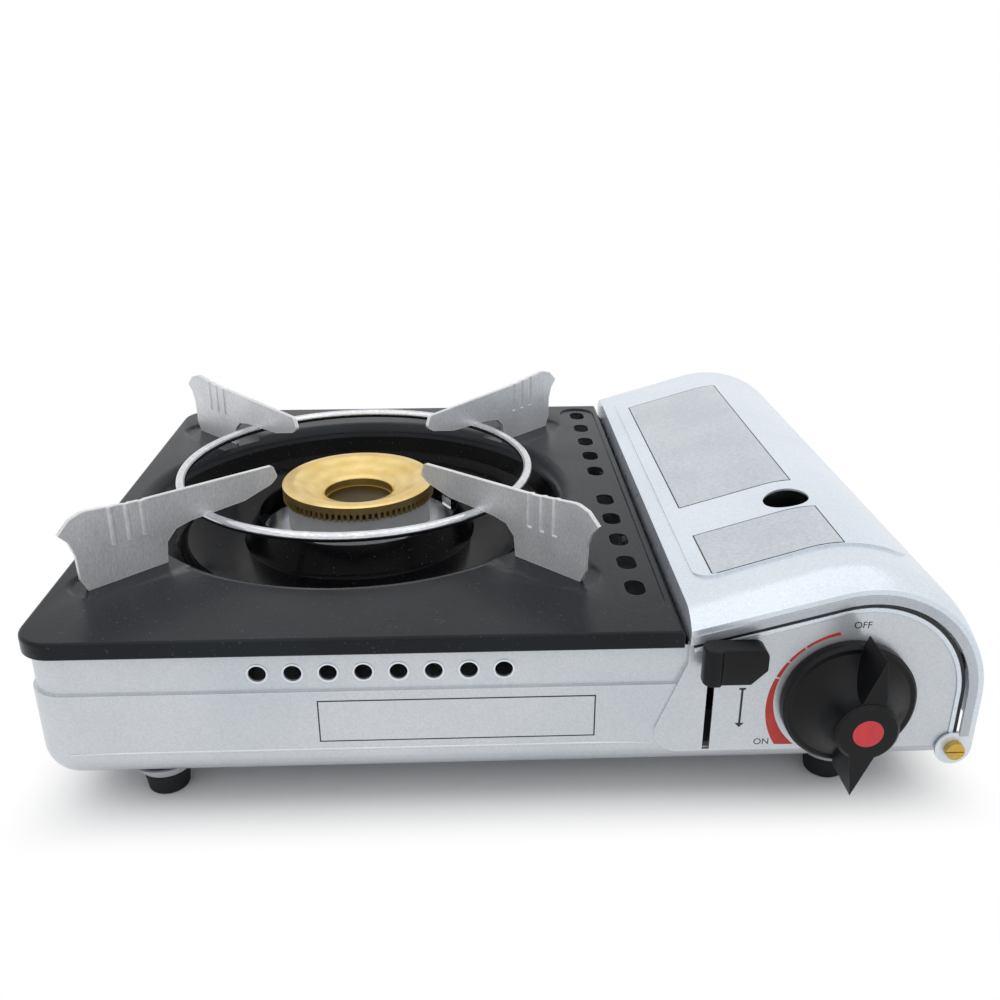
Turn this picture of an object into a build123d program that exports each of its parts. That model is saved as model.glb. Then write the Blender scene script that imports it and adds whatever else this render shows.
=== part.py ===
from build123d import *
import os
from math import cos, pi, radians, sin, sqrt, tan

# Portable butane cassette stove with one burner. Millimetres, +Z up, the controls face -Y.
# The origin is on the surface under the feet, below the middle of the whole stove.
# The burner and its enamelled plate are on the left, the cartridge bay and its lid on the right.
# Names that end in _back_of are distances behind the enamelled plate's front edge, and names that
# end in _ahead_of are distances in front of its back edge.

os.makedirs("parts", exist_ok=True)

# ---------------------------------------------------------------- overall
bowl_radius = 97.0         # where the bowl leaves the enamelled plate
plate_left_margin = 11.5   # plate beyond the bowl at the left
plate_right_margin = 29.5  # and at the right, where the vents are
bay_width = 110.0          # from the plate to the lid's right wall
body_depth = 263.0         # front edge to back edge of the plate
knob_reach = 25.4          # knob in front of the plate's front edge
lid_proud = 1.0            # lid beyond the plate at the front and at the back
base_bottom = 14.5         # underside of the tray
ledge_z = 53.0             # step between the lower and the upper band of the tray
plate_z = 75.2             # top face of the enamelled plate
sheet = 0.8                # steel sheet of the tray, plate, lid and partition
bracket_sheet = 1.2        # steel sheet of the brackets inside
seat_gap = 0.1             # clearance of a loose fit between still pieces
running = 0.05             # radial clearance of a running fit
side_play = 0.1            # play along the axis of a pivot or a shoulder screw

# ---------------------------------------------------------------- lid and hood outline
crown_z = 97.0             # crest of the lid behind its rolled ends
crown_radius = 48.0
crown_slope = 16.5         # degrees, left flank of the lid
rim_z = 90.9               # crest of the lid's front edge
rim_radius = 44.5
rim_slope = 14.6
roll_length = 12.0         # depth over which the lid's ends roll down
roll_power = 2.2
lid_gap = 1.9              # between the enamelled plate and the lid
lid_lip = 5.3              # height of the lid's left lip at the rim
lid_side_z = 34.0          # lower edge of the lid's right wall
flange_band = 5.5          # rim flange seen from the front
panel_gap = 0.6            # gap between the rim flange and the panel behind it
pad_left_inset = 5.8       # raised field inside the lid's left and right walls
pad_right_inset = 22.5
pad_front_back_of = 22.7
pad_rear_ahead_of = 21.3
pad_round = 8.0
pad_rise = 0.9
window_offset = 4.5        # hole that shows the cartridge's collar, left of the cartridge's axis
window_back_of = 67.7
window_radius = 8.9
hinge_inset = 6.8          # hinge axis inside the lid's right wall
hinge_z = 23.8
hinge_radius = 2.0
hinge_ear = 6.0            # tray's ear round the hinge screw
hinge_head = 3.5
hinge_cap = 2.2
hinge_play = 0.2
nut_radius = 4.0
nut_height = 2.6
nut_room = 1.5             # space round and behind the nuts
thread_past = 1.2          # screw ends past their nuts

# ---------------------------------------------------------------- tray
lower_inset = 1.2          # lower band inside the plate's edge
upper_inset = 2.4
pad_inset = 0.4            # raised control panel inside the plate's edge
tray_corner = 15.2         # plan corner radius measured at the plate's edge
bottom_radius = 14.0
side_wall_z = 60.0         # top of the tray's right wall, under the lid
skirt_clear = 0.3          # between the plate's skirt and what stands beside it
vent_count = 8
vent_radius = 3.15
vent_pitch = 12.46
vent_first_offset = 24.3   # first vent, left of the burner
vent_z = 60.3

# control panel pressed out of the tray's front: its left edge, right of the plate's edge and above the ground
panel_edge = [(2.7, 64.0), (-2.0, 52.0), (-8.6, 35.0)]
panel_bottom_z = 24.6
panel_corner = 9.0
slot_offset = 10.65        # lever slot, right of the plate's edge
slot_width = 2.7
slot_low = 25.2
slot_high = 68.3
spindle_hole = 9.0

# ---------------------------------------------------------------- feet and screws
foot_left_inset = 41.5
foot_right_inset = 45.5
foot_front_back_of = 21.1
foot_rear_ahead_of = 22.3
foot_height = 10.0
foot_radius = 9.0
foot_taper = 1.4
foot_edge = 1.2
foot_boss = 1.0            # pressed boss round each foot, at its lower edge
foot_boss_flare = 3.0
foot_recess = 5.0
foot_screw = 2.0
foot_screw_head = 4.0
foot_screw_cap = 1.6
screw_radius = 1.5
screw_head = 3.0
screw_cap = 1.6
screw_length = 3.0
drive_width = 0.7          # slots in the screw heads
drive_depth = 0.6

# ---------------------------------------------------------------- enamelled plate
plate_corner = 14.0
plate_bay_corner = 3.0     # corners beside the lid
skirt_height = 6.4
plate_edge = 1.4
burner_behind_middle = 5.6
bowl_roll = 4.0
bowl_roll_drop = 6.0
bowl_shelf_z = 61.0
bowl_shelf = [(7.5, 1.0), (13.0, -1.0)]    # inside the bowl's radius, above the shelf's height
bowl_floor_z = 50.6
bowl_floor = [(18.0, 2.5), (24.0, 0.0)]    # inside the bowl's radius, above the floor's height
bowl_opening = 50.0
bowl_lip = 4.0
channel_width = 26.0       # recess for each pan support's foot
channel_past_bowl = 44.0
channel_depth = 1.4
recess_taper = 60          # degrees, sides of the recesses
vent_strip_inset = 12.3     # strip's middle inside the plate's right edge
vent_strip_width = 19.0
vent_strip_margin = 15.5   # strip's front end behind the plate's front edge
vent_strip_rear = 5.5
vent_strip_depth = 0.8
plate_vent_width = 7.7
plate_vent_length = 12.2
plate_vent_back_of = 35.4
plate_vent_pitch = 21.75
plate_vent_ahead_of = 17.4
plate_vent_row = 5

# ---------------------------------------------------------------- pan support
ring_radius = 79.1
ring_wire = 2.1
ring_seat = 0.01           # notch in each arm round the wire
ring_drop = 1.7            # wire's axis below the underside of the arms
arm_thickness = 1.8
arm_angles = {"rear_right": 45, "rear_left": 135, "front_left": 225, "front_right": 315}
arm_crest_z = 105.8
# upper edge of an arm from its inner end to its heel: reach from the burner's axis, drop from the crest
arm_top = [(48.0, 13.5), (44.5, 10.8), (46.5, 5.4), (110.0, 2.4), (131.0, 0.0), (136.5, 1.8),
           (141.5, 6.6), (138.0, 10.6), (136.2, 16.3)]
arm_crest_round = 8.0
arm_nose_round = 1.6
arm_beam_height = 16.9     # crest to the underside of the arm over the bowl
arm_underside = [(94.5, 2.0), (87.5, 0.7), (62.0, 0.0)]    # reach, drop from that underside
arm_foot_inner = 100.0
arm_foot_outer = 133.6
arm_heel = (2.2, 5.15)     # beyond and above the foot's outer end
arm_leg = (-1.0, 8.65)     # beyond and above the foot's inner end
foot_gap = 0.05            # the supports stand loose in their recesses
rib_radius = 1.5
rib_places = [107.4, 113.9, 120.4]
rib_proud = 0.7

# ---------------------------------------------------------------- burner
cap_radius = 34.9
cap_z = 81.1
cap_rim = 29.5
cap_hole = 15.8
cap_dish_z = 75.3
cap_well_z = 69.5
cap_skirt_z = 73.9
cap_wall = 3.4
cap_slots = 80
cap_slot_width = 1.4
cap_slot_height = 3.4
cap_edge = 0.7
cap_hole_edge = 1.5
cap_well_wall = 2.5
cap_floor = 1.5
cap_slot_roof = 1.0
head_radius = 33.0
head_wall = 2.4
head_cup_z = 61.0
stem_radius = 14.0
stem_wall = 2.5
stem_bottom = 25.0
head_flare = 2.0
head_floor = 1.5
seat_radius = 20.0
seat_height = 2.2
mixing_z = 35.6
mixing_radius = 9.0
mixing_wall = 1.0
mixing_angle = -33.9       # degrees from +X, towards the jet
mixing_start = 12.0
mixing_past_bowl = 7.0      # flared end, outside the bowl's radius
mixing_flare_length = 8.0
mixing_flare = 3.0
collar_radius = 47.5
collar_low = 46.0
collar_high = 62.0
lug_angles = [30, 210]
lug_width = 9.0
lug_height = 4.5
bracket_inner = 34.0
bracket_outer = 46.0
bracket_leg_width = 12.0
bracket_foot = 10.0
burner_leg_angles = [0, 120, 240]
burner_screw_ring = 40.0
jet_gap = 8.0              # between the mixing tube and the nozzle's tip
jet_tip_length = 2.6
jet_length = 10.0
jet_radius = 3.2
jet_tip_radius = 1.9
jet_hex = 4.5
jet_bracket_width = 28.0
jet_bracket_grip = 10.0    # bracket's first upright, before the tube's end
jet_bracket_top = 50.0
gas_radius = 2.5
gas_back_of = 30.7
gas_low_z = 25.0
gas_run = 16.0             # last straight run into the nozzle
gas_bend = 9.0
gas_hole = 4.5

# ---------------------------------------------------------------- ignition
electrode_angle = 95
electrode_ring = 41.0
ceramic_radius = 2.8
ceramic_low = 42.0
ceramic_high = 70.0
electrode_wire_radius = 1.0
electrode_tip_ring = 37.0
electrode_tip_z = 76.0
electrode_plate = 12.0
electrode_plate_depth = 10.0
electrode_plate_shift = 1.0
electrode_bend_drop = 2.0
lead_radius = 1.5
lead_radii = [12, 30, 40, 14]
lead_hole = 3.0
lead_offset = 11.0         # lead, right of the igniter's left end
lead_low_z = 22.0
lead_bay = (-32.5, 14.7)   # lead under the bay: right of the plate's edge, behind its front edge
lead_bowl = (24.0, -48.4)  # lead under the bowl: right of and behind the burner's axis
lead_sag = [2.0, 3.0, 2.0]
igniter_reach = 44.75      # igniter's left end, left of the knob's axis
igniter_length = 23.0
igniter_depth = 9.0
igniter_height = 10.0
igniter_clear = 0.5
plunger_radius = 2.2
plunger_length = 24.75     # plunger's inner end, left of the knob's axis
plunger_round = 2.0

# ---------------------------------------------------------------- controls
knob_inset = 49.75         # knob's axis inside the lid's right wall
knob_z = 46.6
knob_radius = 24.2
knob_gap = 0.9             # between the control panel and the knob's back
knob_disc = 4.6
knob_dish = 21.4
knob_edge = 1.0
knob_waist = 3.2           # concave flank beyond the hub, at half its depth
hub_radius = 11.2
pointer_reach = 26.0
fin_reach = 28.4           # recessed fin opposite the pointer
fin_half = 7.0
fin_step = 1.4
grip_lean = 7.0            # degrees, fin past upright with the gas off
insert_radius = 5.3
insert_depth = 1.2
spindle_radius = 4.0
spindle_cover = 5.0        # knob's material in front of the spindle
spindle_end_gap = 2.0
knob_turn = 122.0          # degrees from off to full flame
cam_radius = 12.0
cam_rise = 5.0
cam_relief = 25.0          # degrees behind the lobe
cam_gap = 0.15
cam_thickness = 5.0
cam_clear = 2.4            # between the control panel and the cam
valve_clear = 1.6          # between the cam and the valve's boss
lever_pivot_back_of = 56.7
lever_pivot_z = 44.0
pivot_radius = 3.0
pivot_shoulder = 4.5
pivot_head = 5.0
pivot_cap = 1.4
lever_thickness = 1.8
lever_width = 7.4
lever_boss = 7.0
lever_rise = 19.5          # degrees above level when unlocked
lever_turn = 33.0          # degrees from unlocked to locked
lever_length = 67.0
finger_reach = 13.9
finger_width = 9.0
stud_radius = 3.0
handle_overhang = 8.55     # handle, left of the lever slot's middle
handle_width = 23.8
handle_low = 60.5
handle_height = 16.5
handle_depth = 9.5
handle_clear = 1.2         # between the lid's front and the lever's handle
handle_boss_width = 7.4
handle_step = 0.9
handle_chamfer = (8.4, 5.0)
handle_round = 3.5
handle_edge = 0.8

# ---------------------------------------------------------------- cartridge bay
can_inset = 52.5           # cartridge's axis inside the lid's right wall
can_z = 55.5
can_radius = 33.5
bulkhead_back_of = 47.7
bulkhead_half = 38.0
bulkhead_top = 80.0
bulkhead_corner = 14.0
bulkhead_screw_inset = 5.0
foot_flange = 12.0
cradle_clear = 0.5         # between the cartridge and its cradle
cradle_sheet = 1.0
cradle_half = 27.0
cradle_flange = 9.0
cradle_front_back_of = 68.7
cradle_rear_ahead_of = 36.3
cradle_screw_inset = 19.0
partition_screws_back_of = [58.7, 138.7]
partition_screw_ahead_of = 44.3
partition_flange = 10.0
partition_flange_end = 16.0
carriage_gap = 3.05        # carriage, right of the lever slot's middle
carriage_low = 40.0
carriage_high = 62.0
carriage_tab_high = 66.0
carriage_front_back_of = 50.7
carriage_tab_back_of = 72.5
carriage_rear_ahead_of = 19.8
carriage_push_reach = 18.0 # push plate, right of the cartridge's axis
carriage_push_low = 42.0
carriage_push_high = 68.0
carriage_slot_back_of = 128.7
carriage_slot_ahead_of = 54.3
carriage_slot_z = 50.0
carriage_shoulder = 3.6
carriage_screw = 2.1
carriage_screw_head = 4.2
carriage_screw_cap = 1.8
slot_play = 0.1
stud_play = 0.15
heat_behind_burner = 16.6
heat_width = 30.0
heat_thickness = 1.5
heat_start = 19.0          # plate's left end and its bend, right of the burner's axis
heat_bend = 84.0
heat_landing = 12.5        # plate reaches its low run, left of the enamelled plate's edge
heat_reach = 30.0          # plate's right end, right of the cartridge's axis
heat_low_z = 17.8
heat_hole_gap = 0.5

# ---------------------------------------------------------------- regulator
regulator_reach = 24.75    # body's left side, left of the knob's axis
regulator_width = 48.0
regulator_low = 32.0
regulator_high = 64.0
regulator_depth = 28.0
regulator_edge = 1.5
chamber_offset = 2.0       # chamber, right of the cartridge's axis
chamber_back = 15.0        # chamber's axis in front of the bulkhead
chamber_radius = 14.5
chamber_rise = 2.0
joint_depth = 1.0          # cast forms run into each other
cover_sheet = 1.2
cover_dome = 9.0
cover_dome_rise = 4.8
cover_screw_ring = 11.5
cover_screw = 1.0
cover_screw_head = 1.8
cover_screw_cap = 1.4
cover_screw_length = 5.0
inlet_radius = 9.0
inlet_length = 7.0
inlet_bore = 2.6
inlet_bore_depth = 12.0
seal_radius = 6.0
seal_thickness = 2.0
valve_boss = 10.0
valve_bore_depth = 10.0
outlet_leg_width = 14.0
outlet_leg_low = 20.0
outlet_radius = 4.5
outlet_length = 6.0
mount_screw_inset = 6.0
mount_screw_z = 38.0
mount_screw_length = 8.0

# ---------------------------------------------------------------- derived places
plate_width = plate_left_margin + 2 * bowl_radius + plate_right_margin
overall_width = plate_width + bay_width
left_x = -overall_width / 2
right_x = overall_width / 2
rear_reach = lid_proud + hinge_play + hinge_cap
front_y = knob_reach - (knob_reach + body_depth + rear_reach) / 2
back_y = front_y + body_depth
middle_y = (front_y + back_y) / 2
lid_front = front_y - lid_proud
lid_back = back_y + lid_proud
tray_right = right_x - flange_band - panel_gap
plate_right = left_x + plate_width
burner_x = left_x + plate_left_margin + bowl_radius
burner_y = middle_y + burner_behind_middle
channel_end = bowl_radius + channel_past_bowl
mixing_end = bowl_radius + mixing_past_bowl
mixing_flare_start = mixing_end - mixing_flare_length
jet_tip = mixing_end + jet_gap
jet_seat = jet_tip + jet_tip_length
jet_end = jet_tip + jet_length
jet_bracket_start = mixing_end - jet_bracket_grip
vent_strip_x = plate_right - vent_strip_inset
lid_left = plate_right + lid_gap
pad_left = lid_left + pad_left_inset
pad_right = right_x - pad_right_inset
can_x = right_x - can_inset
window_x = can_x - window_offset
knob_x = right_x - knob_inset
slot_x = plate_right + slot_offset
handle_left = slot_x - handle_overhang
carriage_x = slot_x + carriage_gap
bulkhead_y = front_y + bulkhead_back_of
floor_z = base_bottom + sheet
plate_under = plate_z - sheet
pad_y = front_y + pad_inset
panel_inner_y = pad_y + sheet
partition_x = plate_right - sheet - skirt_clear - sheet
bay_left = partition_x + sheet
hinge_x = right_x - hinge_inset
ear_back_y = front_y + lower_inset + sheet
arm_foot_z = plate_z - channel_depth + foot_gap
arm_beam_z = arm_crest_z - arm_beam_height
arm_tip = max(reach for reach, drop in arm_top)
ring_z = arm_beam_z - ring_drop
knob_back = pad_y - knob_gap
hub_front = front_y - knob_reach
handle_back = lid_front - handle_clear
cam_y = panel_inner_y + cam_clear
cam_back = cam_y + cam_thickness
valve_front = cam_back + valve_clear
igniter_left = knob_x - igniter_reach
igniter_right = igniter_left + igniter_length
lead_x = igniter_left + lead_offset
regulator_left = knob_x - regulator_reach
regulator_right = regulator_left + regulator_width
outlet_x = regulator_left - outlet_length
regulator_front = bulkhead_y - regulator_depth
lever_pivot_y = front_y + lever_pivot_back_of
finger_rest = lever_turn / 2
carriage_travel = 2 * finger_reach * sin(radians(finger_rest))
stud_y = lever_pivot_y + finger_reach * sin(radians(finger_rest))
stud_z = lever_pivot_z + finger_reach * cos(radians(finger_rest))
collar_floor = collar_low + sheet
bracket_top = collar_low
bracket_under = collar_low - bracket_sheet
gas_y = front_y + gas_back_of
foot_places = [(x, y) for x in (right_x - foot_right_inset, left_x + foot_left_inset)
               for y in (front_y + foot_front_back_of, back_y - foot_rear_ahead_of)]
partition_rows = [front_y + back_of for back_of in partition_screws_back_of]
partition_rows.append(back_y - partition_screw_ahead_of)
partition_screws = [(bay_left + partition_flange / 2, y) for y in partition_rows]
bulkhead_screws = [(can_x + side * (bulkhead_half - bulkhead_screw_inset), bulkhead_y + foot_flange / 2)
                   for side in (-1, 1)]
cradle_front = front_y + cradle_front_back_of
cradle_rear = back_y - cradle_rear_ahead_of
cradle_rows = (cradle_front + cradle_screw_inset, cradle_rear - cradle_screw_inset)
cradle_screws = [(can_x + side * (cradle_half + cradle_flange / 2), y)
                 for side in (-1, 1) for y in cradle_rows]
chassis_places = partition_screws + bulkhead_screws + cradle_screws
electrode_x = burner_x + electrode_ring * cos(radians(electrode_angle))
electrode_y = burner_y + electrode_ring * sin(radians(electrode_angle))
plunger_y = cam_y + cam_thickness / 2
rim_flank = radians(rim_slope)
rim_touch = (right_x - rim_radius * (1 + sin(rim_flank)), rim_z - rim_radius * (1 - cos(rim_flank)))
lid_lip_z = rim_touch[1] - (rim_touch[0] - lid_left) * tan(rim_flank) - lid_lip
low_end = (Align.CENTER, Align.CENTER, Align.MIN)


# ================================================================ helpers
def at_y(y):
    """Vertical plane facing the front, X to the right and Z up."""
    return Plane.XZ.offset(-y)


def at_x(x):
    """Vertical plane facing the right, Y to the back and Z up."""
    return Plane.YZ.offset(x)


def burner_plane(angle):
    """Upright plane through the burner's axis, its X pointing away from the burner."""
    outward = (cos(radians(angle)), sin(radians(angle)), 0)
    return Plane(origin=(burner_x, burner_y, 0), x_dir=outward, z_dir=(outward[1], -outward[0], 0))


def burner_floor(angle, z):
    """Level plane on the burner's axis, its X pointing away from the burner."""
    outward = (cos(radians(angle)), sin(radians(angle)), 0)
    return Plane(origin=(burner_x, burner_y, z), x_dir=outward, z_dir=(0, 0, 1))


def tube_plane(reach):
    """Plane across the mixing tube's axis, at a distance from the burner."""
    along = (cos(radians(mixing_angle)), sin(radians(mixing_angle)), 0)
    origin = (burner_x + reach * along[0], burner_y + reach * along[1], mixing_z)
    return Plane(origin=origin, x_dir=(-along[1], along[0], 0), z_dir=along)


def block(x_span, y_span, z_span, mode=Mode.ADD):
    """Box between two X, two Y and two Z values."""
    spans = (x_span, y_span, z_span)
    with Locations(tuple(sum(span) / 2 for span in spans)):
        Box(*[abs(span[1] - span[0]) for span in spans], mode=mode)


def rod(radius, start, end, mode=Mode.ADD):
    """Cylinder from one point to another."""
    axis = Vector(*end) - Vector(*start)
    with Locations(Plane(origin=start, z_dir=axis)):
        Cylinder(radius, axis.length, align=low_end, mode=mode)


def upright_rods(places, radius, low, high, mode=Mode.ADD):
    """Equal upright cylinders at several places."""
    for x, y in places:
        rod(radius, (x, y, low), (x, y, high), mode)


def lid_section(y, drop, shrink, low_left, low_right, left=lid_left):
    """Hood-shaped outline at a depth: drop 0 is the crown, 1 the rim; shrink moves it inwards."""
    radius = crown_radius + (rim_radius - crown_radius) * drop
    crest = crown_z + (rim_z - crown_z) * drop
    slope = radians(crown_slope + (rim_slope - crown_slope) * drop)
    centre = (right_x - radius, crest - radius)
    radius -= shrink
    touch = (centre[0] - radius * sin(slope), centre[1] + radius * cos(slope))
    top_left = touch[1] - (touch[0] - left) * tan(slope)
    half = (pi / 2 + slope) / 2
    bulge = (centre[0] + radius * cos(half), centre[1] + radius * sin(half))
    end = (centre[0] + radius, centre[1])
    with BuildSketch(at_y(y)) as section:
        with BuildLine():
            Line((left, low_left), (left, top_left))
            Line((left, top_left), touch)
            ThreePointArc(touch, bulge, end)
            Line(end, (end[0], low_right))
            Line((end[0], low_right), (left, low_left))
        make_face()
    return section.sketch


def lid_form(shrink, low_left, low_right, inset):
    """Solid of the lid's outer or inner form, with both ends rolled down."""
    left = lid_left + inset
    shares = [step / 3 for step in range(4)]
    with BuildPart() as form:
        for end, inward in ((lid_front, 1), (lid_back, -1)):
            profiles = [
                lid_section(end + inward * (inset + roll_length * share), (1 - share) ** roll_power,
                            shrink, low_left, low_right, left)
                for share in shares
            ]
            loft(profiles)
        start = lid_front + inset + roll_length
        length = lid_back - inset - roll_length - start
        extrude(lid_section(start, 0, shrink, low_left, low_right, left), amount=-length)
    return form.part


def lid_field(shrink, inset):
    """Raised field on the lid, reduced by shrink at its top and by inset at its sides."""
    front = front_y + pad_front_back_of + inset
    rear = back_y - pad_rear_ahead_of - inset
    with BuildPart() as field:
        with BuildSketch(Plane.XY.offset(lid_lip_z)) as plan:
            with Locations(((pad_left + pad_right) / 2, (front + rear) / 2)):
                RectangleRounded(pad_right - pad_left - 2 * inset, rear - front, pad_round - inset)
        extrude(plan.sketch, amount=crown_z)
        hood = lid_section(front, 0, shrink - pad_rise, lid_side_z, lid_side_z, lid_left)
        extrude(hood, amount=front - rear, mode=Mode.INTERSECT)
    return field.part


def tray_form(shrink):
    """Left-open-topped tray body, reduced by shrink on its outer faces."""
    lower = lower_inset + shrink
    upper = upper_inset + shrink
    right = tray_right - shrink
    upper_right = lid_left + sheet
    with BuildPart() as form:
        with BuildSketch(Plane.XY.offset(base_bottom + shrink)):
            with Locations(((left_x + lower + right) / 2, middle_y)):
                Rectangle(right - left_x - lower, body_depth - 2 * lower)
            fillet(vertices().group_by(Axis.X)[0], radius=tray_corner - lower)
        extrude(amount=ledge_z - shrink - base_bottom - shrink)
        bottom = faces().sort_by(Axis.Z)[0].edges()
        fillet(bottom.sort_by(Axis.X)[:-1], radius=bottom_radius - shrink)
        with BuildSketch(Plane.XY.offset(ledge_z - shrink)):
            with Locations(((left_x + upper + upper_right) / 2, middle_y)):
                Rectangle(upper_right - left_x - upper, body_depth - 2 * upper)
            fillet(vertices().group_by(Axis.X)[0], radius=tray_corner - upper)
        extrude(amount=plate_under - ledge_z + shrink)
    return form.part


def panel_section(y, shrink):
    """Outline of the panels that close the bay below the lid's rim."""
    low = panel_bottom_z + shrink
    return lid_section(y, 1, flange_band + panel_gap + shrink, low, low, lid_left + shrink)


tray_outer = tray_form(0)
tray_inner = tray_form(sheet)
bay_ends = ((pad_y, 1), (back_y - pad_inset, -1))

# ================================================================ tray and outer panels
with BuildPart() as base_shell:
    add(tray_outer)
    # room for the plate's skirt and the lid's lip beside it
    block((bay_left, lid_left + sheet), (front_y, back_y), (plate_z - skirt_height - skirt_clear, plate_z),
          Mode.SUBTRACT)
    # panels that close the bay at the front and the back, up to the lid's rim
    for outer_y, inward in bay_ends:
        extrude(panel_section(outer_y, 0), amount=-inward * (upper_inset - pad_inset + sheet))
    # the pressed edge of the control panel, left of the bay
    with BuildSketch(at_y(pad_y)) as pad:
        with BuildLine():
            edge = [(plate_right + beyond, z) for beyond, z in panel_edge]
            Polyline(*edge, (edge[-1][0], panel_bottom_z), (edge[0][0], panel_bottom_z), close=True)
        make_face()
        low_left = vertices().group_by(Axis.Y)[0].sort_by(Axis.X)[0]
        fillet(low_left, radius=panel_corner)
    extrude(pad.sketch, amount=pad_inset - upper_inset)
    add(tray_inner, mode=Mode.SUBTRACT)
    # the bay is open at the top
    block((lid_left + sheet, tray_right - sheet), (ear_back_y, back_y - lower_inset - sheet),
          (ledge_z - 2 * sheet, crown_z), Mode.SUBTRACT)
    # return edges of the bay's panels stay, their middle is one sheet thick
    for outer_y, inward in bay_ends:
        hollow = panel_section(outer_y + inward * sheet, sheet)
        extrude(hollow, amount=-inward * upper_inset, mode=Mode.SUBTRACT)
    # right wall under the lid
    block((tray_right - sheet, tray_right), (pad_y + sheet, back_y - pad_inset - sheet),
          (ledge_z - sheet, side_wall_z))
    # vent holes under the plate, front and back
    for wall_y in (front_y, back_y):
        for index in range(vent_count):
            vent_x = burner_x - vent_first_offset + index * vent_pitch
            rod(vent_radius, (vent_x, wall_y - 2 * upper_inset, vent_z),
                (vent_x, wall_y + 2 * upper_inset, vent_z), Mode.SUBTRACT)
    # ears for the lid's hinge screws, with room for the nuts behind them
    for outer_y, inward in bay_ends:
        ear_end = outer_y + inward * (lower_inset - pad_inset + sheet)
        rod(hinge_ear, (hinge_x, outer_y, hinge_z), (hinge_x, ear_end, hinge_z))
        rod(nut_radius + nut_room, (hinge_x, ear_end, hinge_z),
            (hinge_x, ear_end + inward * (nut_height + thread_past + nut_room), hinge_z), Mode.SUBTRACT)
        rod(hinge_radius, (hinge_x, outer_y, hinge_z), (hinge_x, ear_end, hinge_z), Mode.SUBTRACT)
    # lever slot and spindle hole
    block((slot_x - slot_width / 2, slot_x + slot_width / 2), (front_y, ear_back_y), (slot_low, slot_high),
          Mode.SUBTRACT)
    rod(spindle_hole, (knob_x, front_y, knob_z), (knob_x, ear_back_y, knob_z), Mode.SUBTRACT)
    # bosses pressed down for the feet
    boss_low = foot_radius + foot_boss
    boss_high = boss_low + foot_boss_flare
    with Locations(*[(x, y, (base_bottom + foot_height) / 2) for x, y in foot_places]):
        Cone(boss_low, boss_high, base_bottom - foot_height)
    with Locations(*[(x, y, (floor_z + foot_height + sheet) / 2) for x, y in foot_places]):
        Cone(boss_low - sheet, boss_high - sheet, base_bottom - foot_height, mode=Mode.SUBTRACT)
    upright_rods(foot_places, foot_screw, foot_height, foot_height + sheet, Mode.SUBTRACT)
    upright_rods(chassis_places, screw_radius, base_bottom, floor_z, Mode.SUBTRACT)

# ================================================================ rubber feet and their screws
with BuildPart() as feet:
    for x, y in foot_places:
        with Locations((x, y, foot_height / 2)):
            Cone(foot_radius - foot_taper, foot_radius, foot_height)
    fillet(faces().filter_by(Axis.Z).group_by(Axis.Z)[0].edges(), radius=foot_edge)
    upright_rods(foot_places, foot_screw_head + 2 * seat_gap, 0, foot_recess, Mode.SUBTRACT)
    upright_rods(foot_places, foot_screw, foot_recess, foot_height, Mode.SUBTRACT)

with BuildPart() as foot_screws:
    upright_rods(foot_places, foot_screw_head, foot_recess - foot_screw_cap, foot_recess)
    upright_rods(foot_places, foot_screw, foot_recess, foot_height + sheet + thread_past)
    for x, y in foot_places:
        block((x - foot_screw_head, x + foot_screw_head), (y - drive_width / 2, y + drive_width / 2),
              (foot_recess - foot_screw_cap, foot_recess - foot_screw_cap + drive_depth), Mode.SUBTRACT)

with BuildPart() as chassis_screws:
    upright_rods(chassis_places, screw_head, base_bottom - screw_cap, base_bottom)
    upright_rods(chassis_places, screw_radius, base_bottom, base_bottom + screw_length)
    for x, y in chassis_places:
        for across, along in ((screw_head, drive_width / 2), (drive_width / 2, screw_head)):
            block((x - across, x + across), (y - along, y + along),
                  (base_bottom - screw_cap, base_bottom - screw_cap + drive_depth), Mode.SUBTRACT)


# ================================================================ enamelled top plate with its bowl
def foot_channels():
    """Round-ended slots from the bowl towards the plate's corners."""
    start = bowl_radius - channel_width
    for angle in arm_angles.values():
        reach = (start + channel_end) / 2
        place = (burner_x + reach * cos(radians(angle)), burner_y + reach * sin(radians(angle)), 0)
        with Locations(Location(place, (0, 0, angle))):
            SlotOverall(channel_end - start, channel_width)


def vent_strip():
    """Round-ended strip along the plate's right edge."""
    start = front_y + vent_strip_margin
    end = back_y - vent_strip_rear
    with Locations((vent_strip_x, (start + end) / 2)):
        SlotOverall(end - start, vent_strip_width, rotation=90)


def plate_outline(inset):
    """Plan of the plate, set in from its edge."""
    with Locations(((left_x + plate_right) / 2, middle_y)):
        Rectangle(plate_width - 2 * inset, body_depth - 2 * inset)
    corners = vertices().group_by(Axis.X)
    fillet(corners[0], radius=plate_corner - inset)
    fillet(corners[-1], radius=plate_bay_corner - inset)


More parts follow.
